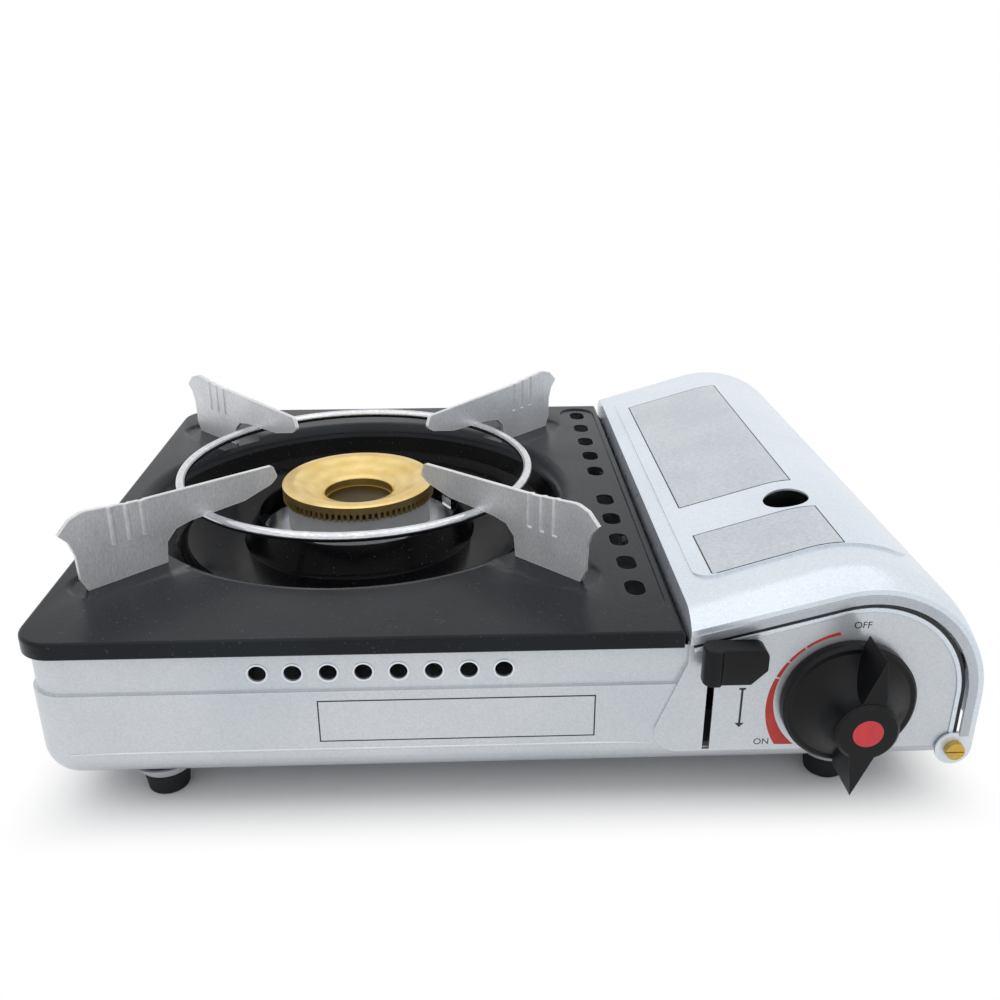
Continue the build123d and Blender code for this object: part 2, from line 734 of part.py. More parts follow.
roll_start = bowl_radius + bowl_roll
roll_end = bowl_radius - bowl_roll
with BuildSketch(burner_plane(0)) as bowl_room:
    with BuildLine():
        Line((0, plate_z), (roll_start, plate_z))
        TangentArc((roll_start, plate_z), (roll_end, plate_z - bowl_roll_drop), tangent=(-1, 0))
        Polyline((roll_end, plate_z - bowl_roll_drop),
                 *[(bowl_radius - inside, bowl_shelf_z + above) for inside, above in bowl_shelf],
                 *[(bowl_radius - inside, bowl_floor_z + above) for inside, above in bowl_floor],
                 (bowl_opening + bowl_lip, bowl_floor_z), (bowl_opening, bowl_floor_z + bowl_lip),
                 (0, bowl_floor_z + bowl_lip), (0, plate_z))
    make_face()
with BuildSketch(burner_plane(0)) as bowl_skin:
    add(offset(bowl_room.sketch_local, amount=sheet, mode=Mode.PRIVATE))
    with Locations((channel_end / 2, (plate_z + floor_z) / 2)):
        Rectangle(channel_end, plate_z - floor_z, mode=Mode.INTERSECT)
burner_axis = Axis((burner_x, burner_y, 0), (0, 0, 1))

with BuildPart() as top_plate:
    with BuildSketch(Plane.XY.offset(plate_z - skirt_height)) as slab:
        plate_outline(0)
    extrude(slab.sketch, amount=skirt_height)
    fillet(faces().sort_by(Axis.Z)[-1].edges(), radius=plate_edge)
    with BuildSketch(Plane.XY.offset(plate_z - skirt_height)) as under:
        plate_outline(sheet)
    extrude(under.sketch, amount=skirt_height - sheet, mode=Mode.SUBTRACT)
    # undersides of the recesses and of the bowl
    with BuildSketch(Plane.XY.offset(plate_under - channel_depth)) as pans:
        foot_channels()
    extrude(pans.sketch, amount=channel_depth)
    with BuildSketch(Plane.XY.offset(plate_under - vent_strip_depth)) as strip:
        vent_strip()
    extrude(strip.sketch, amount=vent_strip_depth)
    revolve(bowl_skin.sketch, axis=burner_axis)
    # the recesses and the bowl themselves
    with BuildSketch(Plane.XY.offset(plate_z)) as channels:
        foot_channels()
    extrude(channels.sketch, amount=-channel_depth, taper=recess_taper, mode=Mode.SUBTRACT)
    with BuildSketch(Plane.XY.offset(plate_z)) as strip_top:
        vent_strip()
    extrude(strip_top.sketch, amount=-vent_strip_depth, taper=recess_taper / 2, mode=Mode.SUBTRACT)
    revolve(bowl_room.sketch, axis=burner_axis, mode=Mode.SUBTRACT)
    rod(bowl_opening, (burner_x, burner_y, floor_z), (burner_x, burner_y, plate_z), Mode.SUBTRACT)
    rows = ((front_y + plate_vent_back_of, 1), (back_y - plate_vent_ahead_of, -1))
    plate_vents = [(vent_strip_x, start + inward * index * plate_vent_pitch)
                   for start, inward in rows for index in range(plate_vent_row)]
    with BuildSketch(Plane.XY.offset(plate_z)) as vent_slots:
        with Locations(*plate_vents):
            SlotOverall(plate_vent_length, plate_vent_width, rotation=90)
    extrude(vent_slots.sketch, amount=floor_z - plate_z, mode=Mode.SUBTRACT)

# ================================================================ lid of the cartridge bay
with BuildPart() as lid:
    add(lid_form(0, lid_lip_z, hinge_z, 0))
    add(lid_field(0, 0))
    add(lid_form(sheet, ledge_z, 0, sheet), mode=Mode.SUBTRACT)
    add(lid_field(sheet, sheet), mode=Mode.SUBTRACT)
    # the mouths, which leave a narrow rim flange at both ends
    for end, inward in ((lid_front, 1), (lid_back, -1)):
        extrude(lid_section(end, 1, flange_band, 0, 0), amount=-inward * 2 * sheet, mode=Mode.SUBTRACT)
    block((tray_right, right_x), (lid_front + sheet, lid_back - sheet), (0, lid_side_z), Mode.SUBTRACT)
    # rounded tabs on the hinge axis
    for end, inward in ((lid_front, 1), (lid_back, -1)):
        inner = end + inward * sheet
        rod(hinge_inset, (hinge_x, end, hinge_z), (hinge_x, inner, hinge_z))
        rod(hinge_radius + running, (hinge_x, end, hinge_z), (hinge_x, inner, hinge_z), Mode.SUBTRACT)
    window_y = front_y + window_back_of
    rod(window_radius, (window_x, window_y, lid_lip_z), (window_x, window_y, crown_z + pad_rise),
        Mode.SUBTRACT)

with BuildPart() as hinge_screws:
    for outer, inward in ((lid_front, 1), (lid_back, -1)):
        under_head = outer - inward * hinge_play
        tip = outer + inward * (lid_proud + lower_inset + sheet + nut_height + thread_past)
        rod(hinge_head, (hinge_x, under_head - inward * hinge_cap, hinge_z), (hinge_x, under_head, hinge_z))
        rod(hinge_radius, (hinge_x, under_head, hinge_z), (hinge_x, tip, hinge_z))
        slot_end = under_head - inward * (hinge_cap - drive_depth)
        block((hinge_x - hinge_head, hinge_x + hinge_head), (under_head - inward * hinge_cap, slot_end),
              (hinge_z - drive_width / 2, hinge_z + drive_width / 2), Mode.SUBTRACT)

with BuildPart() as hinge_nuts:
    for outer_y, inward in bay_ends:
        seat = outer_y + inward * (lower_inset - pad_inset + sheet)
        with BuildSketch(at_y(seat)) as nut:
            with Locations((hinge_x, hinge_z)):
                RegularPolygon(nut_radius, 6)
                Circle(hinge_radius, mode=Mode.SUBTRACT)
        extrude(nut.sketch, amount=-inward * nut_height)

# ================================================================ pan support
with BuildPart() as support_ring:
    with Locations((burner_x, burner_y, ring_z)):
        Torus(ring_radius, ring_wire)


def pan_support(angle):
    """One upright sheet arm: beam over the bowl, ribbed shoulder and foot in its recess."""
    with BuildSketch(burner_plane(angle)) as outline:
        with BuildLine():
            Polyline(*[(reach, arm_crest_z - drop) for reach, drop in arm_top],
                     (arm_foot_outer + arm_heel[0], arm_foot_z + arm_heel[1]),
                     (arm_foot_outer, arm_foot_z), (arm_foot_inner, arm_foot_z),
                     (arm_foot_inner + arm_leg[0], arm_foot_z + arm_leg[1]),
                     *[(reach, arm_beam_z - drop) for reach, drop in arm_underside], close=True)
        make_face()
        fillet(vertices().sort_by(Axis.X)[:3], radius=arm_nose_round)
        fillet(vertices().group_by(Axis.Y)[-1], radius=arm_crest_round)
        with Locations((ring_radius, ring_z)):
            Circle(ring_wire + ring_seat, mode=Mode.SUBTRACT)
    centre = arm_thickness / 2 + rib_proud - rib_radius
    with BuildPart() as ribs:
        with BuildSketch(burner_floor(angle, arm_beam_z)) as rounds:
            with Locations(*[(place, centre) for place in rib_places]):
                Circle(rib_radius)
            with Locations((arm_tip / 2, -arm_tip / 2)):
                Rectangle(arm_tip * 2, arm_tip, mode=Mode.SUBTRACT)
        extrude(rounds.sketch, amount=arm_beam_height)
        extrude(outline.sketch, amount=2 * rib_radius, both=True, mode=Mode.INTERSECT)
    with BuildPart() as arm:
        extrude(outline.sketch, amount=arm_thickness / 2, both=True)
        add(ribs.part)
        with BuildSketch(burner_floor(angle, arm_beam_z)) as grooves:
            with Locations(*[(place, centre - arm_thickness) for place in rib_places]):
                Circle(rib_radius)
        extrude(grooves.sketch, amount=arm_beam_height, mode=Mode.SUBTRACT)
    return arm.part


# ================================================================ burner
with BuildPart() as burner_cap:
    with BuildSketch(burner_plane(0)) as cap_half:
        with BuildLine():
            well = cap_hole + cap_well_wall
            roof_z = cap_skirt_z + cap_slot_height + cap_slot_roof
            Polyline((cap_radius, cap_skirt_z), (cap_radius, cap_z - cap_edge),
                     (cap_radius - cap_edge, cap_z), (cap_rim, cap_z),
                     (cap_hole + cap_hole_edge, cap_dish_z + cap_edge),
                     (cap_hole, cap_dish_z - cap_edge), (cap_hole, cap_well_z + cap_floor),
                     (0, cap_well_z + cap_floor), (0, cap_well_z), (well, cap_well_z), (well, cap_skirt_z),
                     (cap_rim, roof_z), (cap_radius - cap_wall, roof_z), (cap_radius - cap_wall, cap_skirt_z),
                     close=True)
        make_face()
    revolve(cap_half.sketch, axis=burner_axis)
    with Locations((burner_x, burner_y, cap_skirt_z)):
        with PolarLocations(cap_radius - cap_wall / 2, cap_slots):
            Box(cap_wall + cap_slot_roof, cap_slot_width, 2 * cap_slot_height, mode=Mode.SUBTRACT)

with BuildPart() as burner_head:
    with BuildSketch(burner_plane(0)) as head_half:
        with BuildLine():
            bore = stem_radius - stem_wall
            Polyline((0, stem_bottom), (stem_radius, stem_bottom), (stem_radius, collar_floor),
                     (seat_radius, collar_floor), (seat_radius, collar_floor + seat_height),
                     (stem_radius + head_flare, collar_floor + seat_height + head_flare / 2),
                     (head_radius, head_cup_z), (head_radius, cap_skirt_z),
                     (head_radius - head_wall, cap_skirt_z),
                     (head_radius - head_wall, head_cup_z + head_floor),
                     (bore, collar_floor + 2 * seat_height), (bore, stem_bottom + stem_wall),
                     (0, stem_bottom + stem_wall), close=True)
        make_face()
    revolve(head_half.sketch, axis=burner_axis)
    with BuildSketch(tube_plane(0)) as tube_mouth:
        Circle(mixing_radius)
    extrude(tube_mouth.sketch, amount=stem_radius + head_flare, mode=Mode.SUBTRACT)

with BuildPart() as burner_collar:
    with BuildSketch(burner_plane(0)) as collar_half:
        with BuildLine():
            Polyline((stem_radius + seat_gap, collar_low), (collar_radius, collar_low),
                     (collar_radius, collar_high), (collar_radius - sheet, collar_high),
                     (collar_radius - sheet, collar_floor), (stem_radius + seat_gap, collar_floor),
                     close=True)
        make_face()
    revolve(collar_half.sketch, axis=burner_axis)
    for angle in lug_angles:
        with BuildSketch(burner_floor(angle, collar_high)) as lug:
            with Locations((collar_radius - sheet / 2, 0)):
                Rectangle(sheet, lug_width)
        extrude(lug.sketch, amount=lug_height)
        with BuildSketch(burner_floor(angle, collar_high)) as lug_root:
            with Locations((collar_radius - sheet, 0)):
                Rectangle(2 * sheet, lug_width)
        extrude(lug_root.sketch, amount=-sheet)
    screw_places = [(burner_x + burner_screw_ring * cos(radians(angle)),
                     burner_y + burner_screw_ring * sin(radians(angle))) for angle in burner_leg_angles]
    upright_rods(screw_places, screw_radius, collar_low, collar_floor, Mode.SUBTRACT)
    rod(ceramic_radius + seat_gap, (electrode_x, electrode_y, collar_low),
        (electrode_x, electrode_y, collar_floor), Mode.SUBTRACT)

with BuildPart() as burner_bracket:
    with BuildSketch(Plane.XY.offset(bracket_under)) as bracket_ring:
        with Locations((burner_x, burner_y)):
            Circle(bracket_outer)
            Circle(bracket_inner, mode=Mode.SUBTRACT)
    extrude(bracket_ring.sketch, amount=bracket_sheet)
    for angle in burner_leg_angles:
        with BuildSketch(burner_plane(angle)) as leg:
            with BuildLine():
                Polyline((bracket_outer - bracket_sheet, bracket_top),
                         (bracket_outer - bracket_sheet, floor_z), (bracket_outer + bracket_foot, floor_z),
                         (bracket_outer + bracket_foot, floor_z + bracket_sheet),
                         (bracket_outer, floor_z + bracket_sheet), (bracket_outer, bracket_top), close=True)
            make_face()
        extrude(leg.sketch, amount=bracket_leg_width / 2, both=True)
    upright_rods(screw_places, screw_radius, bracket_under, bracket_top, Mode.SUBTRACT)
    rod(ceramic_radius + seat_gap, (electrode_x, electrode_y, bracket_under),
        (electrode_x, electrode_y, bracket_top), Mode.SUBTRACT)

with BuildPart() as burner_screws:
    upright_rods(screw_places, screw_head, collar_floor, collar_floor + screw_cap)
    upright_rods(screw_places, screw_radius, bracket_under - thread_past, collar_floor)

with BuildPart() as mixing_tube:
    with BuildSketch(burner_plane(mixing_angle)) as tube_half:
        with BuildLine():
            Polyline((mixing_start, mixing_z + mixing_radius), (mixing_flare_start, mixing_z + mixing_radius),
                     (mixing_end, mixing_z + mixing_radius + mixing_flare),
                     (mixing_end, mixing_z + mixing_radius + mixing_flare - mixing_wall),
                     (mixing_flare_start, mixing_z + mixing_radius - mixing_wall),
                     (mixing_start, mixing_z + mixing_radius - mixing_wall), close=True)
        make_face()
    revolve(tube_half.sketch, axis=Axis(tube_plane(0).origin, tube_plane(0).z_dir))

with BuildPart() as jet_bracket:
    uprights = ((jet_bracket_start, mixing_radius), (jet_seat - bracket_sheet, jet_radius))
    for reach, hole in uprights:
        with BuildSketch(tube_plane(reach)) as upright:
            with Locations((0, (floor_z + jet_bracket_top) / 2 - mixing_z)):
                Rectangle(jet_bracket_width, jet_bracket_top - floor_z)
            Circle(hole, mode=Mode.SUBTRACT)
        extrude(upright.sketch, amount=bracket_sheet)
    with BuildSketch(burner_floor(mixing_angle, floor_z)) as jet_foot:
        with Locations(((jet_bracket_start + jet_seat) / 2, 0)):
            Rectangle(jet_seat - jet_bracket_start, jet_bracket_width)
    extrude(jet_foot.sketch, amount=bracket_sheet)

with BuildPart() as jet_nozzle:
    with BuildSketch(tube_plane(jet_tip)) as jet_point_face:
        Circle(jet_tip_radius)
    extrude(jet_point_face.sketch, amount=jet_end - jet_tip)
    with BuildSketch(tube_plane(jet_seat - bracket_sheet)) as jet_body:
        Circle(jet_radius)
    extrude(jet_body.sketch, amount=jet_end - jet_seat + bracket_sheet)
    with BuildSketch(tube_plane(jet_seat)) as jet_nut:
        RegularPolygon(jet_hex, 6)
    extrude(jet_nut.sketch, amount=jet_hex)

jet_point = tube_plane(jet_end).origin
gas_turn = tube_plane(jet_end + gas_run).origin
gas_path = [(outlet_x, gas_y, gas_low_z), (gas_turn.X, gas_y, gas_low_z), tuple(gas_turn), tuple(jet_point)]
with BuildPart() as gas_tube:
    with BuildLine() as gas_line:
        FilletPolyline(*gas_path, radius=gas_bend)
    with BuildSketch(gas_line.line ^ 0) as gas_section:
        Circle(gas_radius)
    sweep(sections=gas_section.sketch, path=gas_line.line)

# ================================================================ ignition
with BuildPart() as electrode_ceramic:
    rod(ceramic_radius, (electrode_x, electrode_y, ceramic_low), (electrode_x, electrode_y, ceramic_high))
    fillet(faces().sort_by(Axis.Z)[-1].edges(), radius=ceramic_radius / 3)

with BuildPart() as electrode_wire:
    tip_x = burner_x + electrode_tip_ring * cos(radians(electrode_angle))
    tip_y = burner_y + electrode_tip_ring * sin(radians(electrode_angle))
    with BuildLine() as wire_line:
        FilletPolyline((electrode_x, electrode_y, ceramic_high),
                       (electrode_x, electrode_y, electrode_tip_z - electrode_bend_drop),
                       (tip_x, tip_y, electrode_tip_z), radius=electrode_wire_radius * 1.5)
    with BuildSketch(wire_line.line ^ 0) as wire_section:
        Circle(electrode_wire_radius)
    sweep(sections=wire_section.sketch, path=wire_line.line)

with BuildPart() as electrode_bracket:
    with BuildSketch(burner_floor(electrode_angle, collar_floor)) as ceramic_plate:
        with Locations((electrode_ring - electrode_plate_shift, 0)):
            Rectangle(electrode_plate_depth, electrode_plate)
        fillet(vertices(), radius=ceramic_radius / 2)
    extrude(ceramic_plate.sketch, amount=sheet)
    rod(ceramic_radius, (electrode_x, electrode_y, collar_floor),
        (electrode_x, electrode_y, collar_high), Mode.SUBTRACT)

igniter_low = knob_z - igniter_height / 2
lead_path = [(lead_x, plunger_y, igniter_low), (lead_x, plunger_y, lead_low_z),
             (plate_right + lead_bay[0], front_y + lead_bay[1], lead_low_z - lead_sag[0]),
             (burner_x + lead_bowl[0], burner_y + lead_bowl[1], lead_low_z - lead_sag[1]),
             (electrode_x, electrode_y, lead_low_z - lead_sag[2]), (electrode_x, electrode_y, ceramic_low)]
with BuildPart() as igniter_lead:
    with BuildLine() as lead_line:
        FilletPolyline(*lead_path, radius=lead_radii)
    with BuildSketch(lead_line.line ^ 0) as lead_section:
        Circle(lead_radius)
    sweep(sections=lead_section.sketch, path=lead_line.line)

igniter_front = panel_inner_y + igniter_clear
igniter_back = igniter_front + igniter_depth
plunger_tip = knob_x - cam_radius - cam_gap
plunger_start = knob_x - plunger_length
with BuildPart() as igniter_body:
    block((igniter_left, igniter_right), (igniter_front, igniter_back),
          (igniter_low, igniter_low + igniter_height))
    fillet(edges().filter_by(Axis.X), radius=plunger_radius / 2)
    rod(plunger_radius + running, (plunger_start - cam_rise - cam_gap, plunger_y, knob_z),
        (igniter_right, plunger_y, knob_z), Mode.SUBTRACT)

with BuildPart() as igniter_plunger:
    rod(plunger_radius, (plunger_start, plunger_y, knob_z), (plunger_tip, plunger_y, knob_z))
    fillet(faces().sort_by(Axis.X)[-1].edges(), radius=plunger_round)

with BuildPart() as igniter_bracket:
    igniter_z = (igniter_low, igniter_low + igniter_height)
    block((igniter_left, regulator_left), (igniter_back, igniter_back + bracket_sheet), igniter_z)
    block((regulator_left - bracket_sheet, regulator_left),
          (igniter_back, regulator_front + regulator_depth / 2), igniter_z)

# ================================================================ regulator
chamber_x = can_x + chamber_offset
regulator_axis_y = bulkhead_y - chamber_back
chamber_top = regulator_high + chamber_rise
cover_offset = cover_screw_ring / sqrt(2)
cover_places = [(chamber_x + across * cover_offset, regulator_axis_y + along * cover_offset)
                for across in (-1, 1) for along in (-1, 1)]
cover_screw_end = chamber_top + cover_sheet - cover_screw_length
mount_screw_x = [regulator_left + mount_screw_inset, regulator_right - mount_screw_inset]
with BuildPart() as regulator_body:
    block((regulator_left, regulator_right), (regulator_front, bulkhead_y), (regulator_low, regulator_high))
    chamfer(edges().filter_by(Axis.Y), length=regulator_edge)
    rod(chamber_radius, (chamber_x, regulator_axis_y, regulator_low + joint_depth),
        (chamber_x, regulator_axis_y, chamber_top))
    rod(inlet_radius, (can_x, bulkhead_y, can_z), (can_x, bulkhead_y + inlet_length, can_z))
    rod(valve_boss, (knob_x, valve_front, knob_z), (knob_x, regulator_front, knob_z))
    block((regulator_left + regulator_edge, regulator_left + outlet_leg_width),
          (gas_y - outlet_leg_width / 2, gas_y + outlet_leg_width / 2),
          (outlet_leg_low, regulator_low + joint_depth))
    rod(outlet_radius, (outlet_x, gas_y, gas_low_z), (regulator_left + 2 * regulator_edge, gas_y, gas_low_z))
    rod(inlet_bore, (can_x, bulkhead_y + inlet_length - inlet_bore_depth, can_z),
        (can_x, bulkhead_y + inlet_length, can_z), Mode.SUBTRACT)
    rod(spindle_radius + running, (knob_x, valve_front, knob_z),
        (knob_x, regulator_front + valve_bore_depth, knob_z), Mode.SUBTRACT)
    upright_rods(cover_places, cover_screw, cover_screw_end, chamber_top, Mode.SUBTRACT)
    for x in mount_screw_x:
        rod(screw_radius, (x, bulkhead_y - mount_screw_length, mount_screw_z), (x, bulkhead_y, mount_screw_z),
            Mode.SUBTRACT)

with BuildPart() as regulator_cover:
    rod(chamber_radius, (chamber_x, regulator_axis_y, chamber_top),
        (chamber_x, regulator_axis_y, chamber_top + cover_sheet))
    rod(cover_dome, (chamber_x, regulator_axis_y, chamber_top + cover_sheet),
        (chamber_x, regulator_axis_y, chamber_top + cover_sheet + cover_dome_rise))
    fillet(faces().sort_by(Axis.Z)[-1].edges(), radius=cover_dome_rise / 2)
    upright_rods(cover_places, cover_screw, chamber_top, chamber_top + cover_sheet, Mode.SUBTRACT)

with BuildPart() as regulator_screws:
    cover_top = chamber_top + cover_sheet
    upright_rods(cover_places, cover_screw_head, cover_top, cover_top + cover_screw_cap)
    upright_rods(cover_places, cover_screw, cover_screw_end, cover_top)

with BuildPart() as inlet_seal:
    seal_front = bulkhead_y + inlet_length
    rod(seal_radius, (can_x, seal_front, can_z), (can_x, seal_front + seal_thickness, can_z))
    rod(inlet_bore, (can_x, seal_front, can_z), (can_x, seal_front + seal_thickness, can_z), Mode.SUBTRACT)

# ================================================================ inner walls of the bay
with BuildPart() as regulator_bulkhead:
    with BuildSketch(at_y(bulkhead_y)) as bulkhead_face:
        with Locations((can_x, (floor_z + bulkhead_top) / 2)):
            Rectangle(2 * bulkhead_half, bulkhead_top - floor_z)
        fillet(vertices().group_by(Axis.Y)[-1], radius=bulkhead_corner)
        with Locations((can_x, can_z)):
            Circle(inlet_radius + seat_gap, mode=Mode.SUBTRACT)
        with Locations(*[(x, mount_screw_z) for x in mount_screw_x]):
            Circle(screw_radius, mode=Mode.SUBTRACT)
    extrude(bulkhead_face.sketch, amount=-bracket_sheet)
    block((can_x - bulkhead_half, can_x + bulkhead_half), (bulkhead_y, bulkhead_y + foot_flange),
          (floor_z, floor_z + bracket_sheet))
    upright_rods(bulkhead_screws, screw_radius, floor_z, floor_z + bracket_sheet, Mode.SUBTRACT)

with BuildPart() as mounting_screws:
    for x in mount_screw_x:
        head_front = bulkhead_y + bracket_sheet
        rod(screw_radius, (x, bulkhead_y - mount_screw_length, mount_screw_z), (x, head_front, mount_screw_z))
        rod(screw_head, (x, head_front, mount_screw_z), (x, head_front + screw_cap, mount_screw_z))

heat_high_z = bracket_under - heat_thickness
heat_front = burner_y + heat_behind_burner
heat_start_x = burner_x + heat_start
heat_bend_x = burner_x + heat_bend
heat_land_x = plate_right - heat_landing
heat_end_x = can_x + heat_reach
with BuildPart() as heat_transfer_plate:
    with BuildSketch(at_y(heat_front)) as heat_profile:
        with BuildLine():
            Polyline((heat_start_x, bracket_under), (heat_bend_x, bracket_under),
                     (heat_land_x, heat_low_z + heat_thickness), (heat_end_x, heat_low_z + heat_thickness),
                     (heat_end_x, heat_low_z), (heat_land_x - heat_thickness / 2, heat_low_z),
                     (heat_bend_x - heat_thickness / 2, heat_high_z), (heat_start_x, heat_high_z), close=True)
        make_face()
    extrude(heat_profile.sketch, amount=-heat_width)

heat_gap_y = (heat_front - heat_hole_gap, heat_front + heat_width + heat_hole_gap)
heat_gap_z = (heat_low_z - heat_hole_gap, heat_low_z + heat_thickness + heat_hole_gap)
carriage_slots = [front_y + carriage_slot_back_of, back_y - carriage_slot_ahead_of]
with BuildPart() as partition_wall:
    add(tray_inner)
    block((partition_x, bay_left), (front_y, back_y), (floor_z, plate_under), Mode.INTERSECT)
    block((bay_left, bay_left + partition_flange),
          (front_y + partition_flange_end, back_y - partition_flange_end), (floor_z, floor_z + sheet))
    upright_rods(partition_screws, screw_radius, floor_z, floor_z + sheet, Mode.SUBTRACT)
    rod(gas_hole, (partition_x, gas_y, gas_low_z), (bay_left, gas_y, gas_low_z), Mode.SUBTRACT)
    lead_share = (lead_x - partition_x) / (lead_x - lead_path[2][0])
    lead_y = plunger_y + (lead_path[2][1] - plunger_y) * lead_share
    lead_z = lead_low_z + (lead_path[2][2] - lead_low_z) * lead_share
    rod(lead_hole, (partition_x, lead_y, lead_z), (bay_left, lead_y, lead_z), Mode.SUBTRACT)
    block((partition_x, bay_left), heat_gap_y, heat_gap_z, Mode.SUBTRACT)
    rod(carriage_screw, (partition_x, lever_pivot_y, lever_pivot_z), (bay_left, lever_pivot_y, lever_pivot_z),
        Mode.SUBTRACT)
    for y in carriage_slots:
        rod(carriage_screw, (partition_x, y, carriage_slot_z), (bay_left, y, carriage_slot_z), Mode.SUBTRACT)

with BuildPart() as cartridge_cradle:
    cradle_inner = can_radius + cradle_clear
    leg_high = can_z - sqrt(cradle_inner ** 2 - (cradle_half - cradle_sheet) ** 2)
    with BuildSketch(at_y(cradle_front)) as saddle:
        with Locations((can_x, can_z)):
            Circle(cradle_inner + cradle_sheet)
            Circle(cradle_inner, mode=Mode.SUBTRACT)
        with Locations((can_x, can_z - cradle_inner)):
            Rectangle(2 * cradle_half, cradle_inner, mode=Mode.INTERSECT)
        for side in (-1, 1):
            with Locations((can_x + side * (cradle_half - cradle_sheet / 2), (floor_z + leg_high) / 2)):
                Rectangle(cradle_sheet, leg_high - floor_z)
            with Locations((can_x + side * (cradle_half + cradle_flange / 2), floor_z + cradle_sheet / 2)):
                Rectangle(cradle_flange, cradle_sheet)
    extrude(saddle.sketch, amount=cradle_front - cradle_rear)
    block((can_x - cradle_half - cradle_sheet, can_x + cradle_half + cradle_sheet), heat_gap_y, heat_gap_z,
          Mode.SUBTRACT)
    upright_rods(cradle_screws, screw_radius, floor_z, floor_z + cradle_sheet, Mode.SUBTRACT)

# ================================================================ cartridge lever and carriage
arm_left = slot_x - lever_thickness / 2
arm_right = slot_x + lever_thickness / 2
stud_end = carriage_x + bracket_sheet + carriage_screw_cap
with BuildPart() as lever_arm:
    with BuildSketch(at_x(arm_left)) as arm_outline:
        reach = (lever_length / 2 * cos(radians(lever_rise)), lever_length / 2 * sin(radians(lever_rise)))
        arm_middle = (lever_pivot_y - reach[0], lever_pivot_z + reach[1], 0)
        with Locations(Location(arm_middle, (0, 0, -lever_rise))):
            SlotCenterToCenter(lever_length, lever_width)
        finger_middle = ((lever_pivot_y + stud_y) / 2, (lever_pivot_z + stud_z) / 2, 0)
        with Locations(Location(finger_middle, (0, 0, 90 - finger_rest))):
            SlotCenterToCenter(finger_reach, finger_width)
        with Locations((lever_pivot_y, lever_pivot_z)):
            Circle(lever_boss)
            Circle(pivot_radius + running, mode=Mode.SUBTRACT)
    extrude(arm_outline.sketch, amount=lever_thickness)
    rod(stud_radius, (arm_right, stud_y, stud_z), (stud_end, stud_y, stud_z))

with BuildPart() as lever_handle:
    handle_right = handle_left + handle_width
    handle_high = handle_low + handle_height
    with BuildSketch(at_y(handle_back)) as handle_face:
        with BuildLine():
            Polyline((handle_left, handle_low), (handle_right - handle_chamfer[0], handle_low),
                     (handle_right, handle_low + handle_chamfer[1]), (handle_right, handle_high),
                     (handle_left, handle_high), close=True)
        make_face()
        fillet(vertices().group_by(Axis.Y)[-1], radius=handle_round)
    extrude(handle_face.sketch, amount=handle_depth)
    fillet(faces().filter_by(Axis.Y).sort_by(Axis.Y)[0].edges(), radius=handle_edge)
    block((handle_left + handle_boss_width, handle_right),
          (handle_back - handle_depth, handle_back - handle_depth + handle_step), (handle_low, handle_high),
          Mode.SUBTRACT)
    add(lever_arm.part, mode=Mode.SUBTRACT)


def shoulder_rivet(y, z, shoulder, shoulder_end, shank, shank_end, head, head_end):
    """Stepped pin that is riveted into the partition and holds a moving piece beside it."""
    tail = partition_x - bracket_sheet
    rod(carriage_screw, (partition_x, y, z), (bay_left, y, z))
    rod(carriage_screw_head, (tail, y, z), (partition_x, y, z))
    rod(shoulder, (bay_left, y, z), (shoulder_end, y, z))
    rod(shank, (shoulder_end, y, z), (shank_end, y, z))
    rod(head, (shank_end, y, z), (head_end, y, z))


with BuildPart() as lever_pivot:
    shoulder_rivet(lever_pivot_y, lever_pivot_z, pivot_shoulder, arm_left - side_play, pivot_radius,
                   arm_right + side_play, pivot_head, arm_right + side_play + pivot_cap)

carriage_right = carriage_x + bracket_sheet
with BuildPart() as cartridge_carriage:
    front = front_y + carriage_front_back_of
    tab = front_y + carriage_tab_back_of
    rear = back_y - carriage_rear_ahead_of
    with BuildSketch(at_x(carriage_x)) as slide:
        with BuildLine():
            Polyline((front, carriage_low), (rear, carriage_low), (rear, carriage_high), (tab, carriage_high),
                     (tab, carriage_tab_high), (front, carriage_tab_high), close=True)
        make_face()
        stud_low = stud_z - stud_radius - 3 * stud_play
        stud_high = lever_pivot_z + finger_reach + stud_radius + 2 * stud_play
        with Locations((stud_y, (stud_low + stud_high) / 2)):
            Rectangle(2 * (stud_radius + stud_play), stud_high - stud_low, mode=Mode.SUBTRACT)
        slot_radius = carriage_screw + slot_play
        slot_reach = carriage_travel + 2 * slot_play
        with Locations(*[(y + slot_reach / 2, carriage_slot_z) for y in carriage_slots]):
            SlotCenterToCenter(slot_reach, 2 * slot_radius, mode=Mode.SUBTRACT)
    extrude(slide.sketch, amount=bracket_sheet)
    block((carriage_x, can_x + carriage_push_reach), (rear - bracket_sheet, rear),
          (carriage_push_low, carriage_push_high))

with BuildPart() as carriage_screws:
    for y in carriage_slots:
        shoulder_rivet(y, carriage_slot_z, carriage_shoulder, carriage_x - side_play, carriage_screw,
                       carriage_right + side_play, carriage_screw_head,
                       carriage_right + side_play + carriage_screw_cap)

# ================================================================ gas knob
spindle_front = hub_front + insert_depth + spindle_cover
spindle_end = regulator_front + valve_bore_depth - spindle_end_gap
with BuildPart() as valve_spindle:
    rod(spindle_radius, (knob_x, spindle_front, knob_z), (knob_x, spindle_end, knob_z))

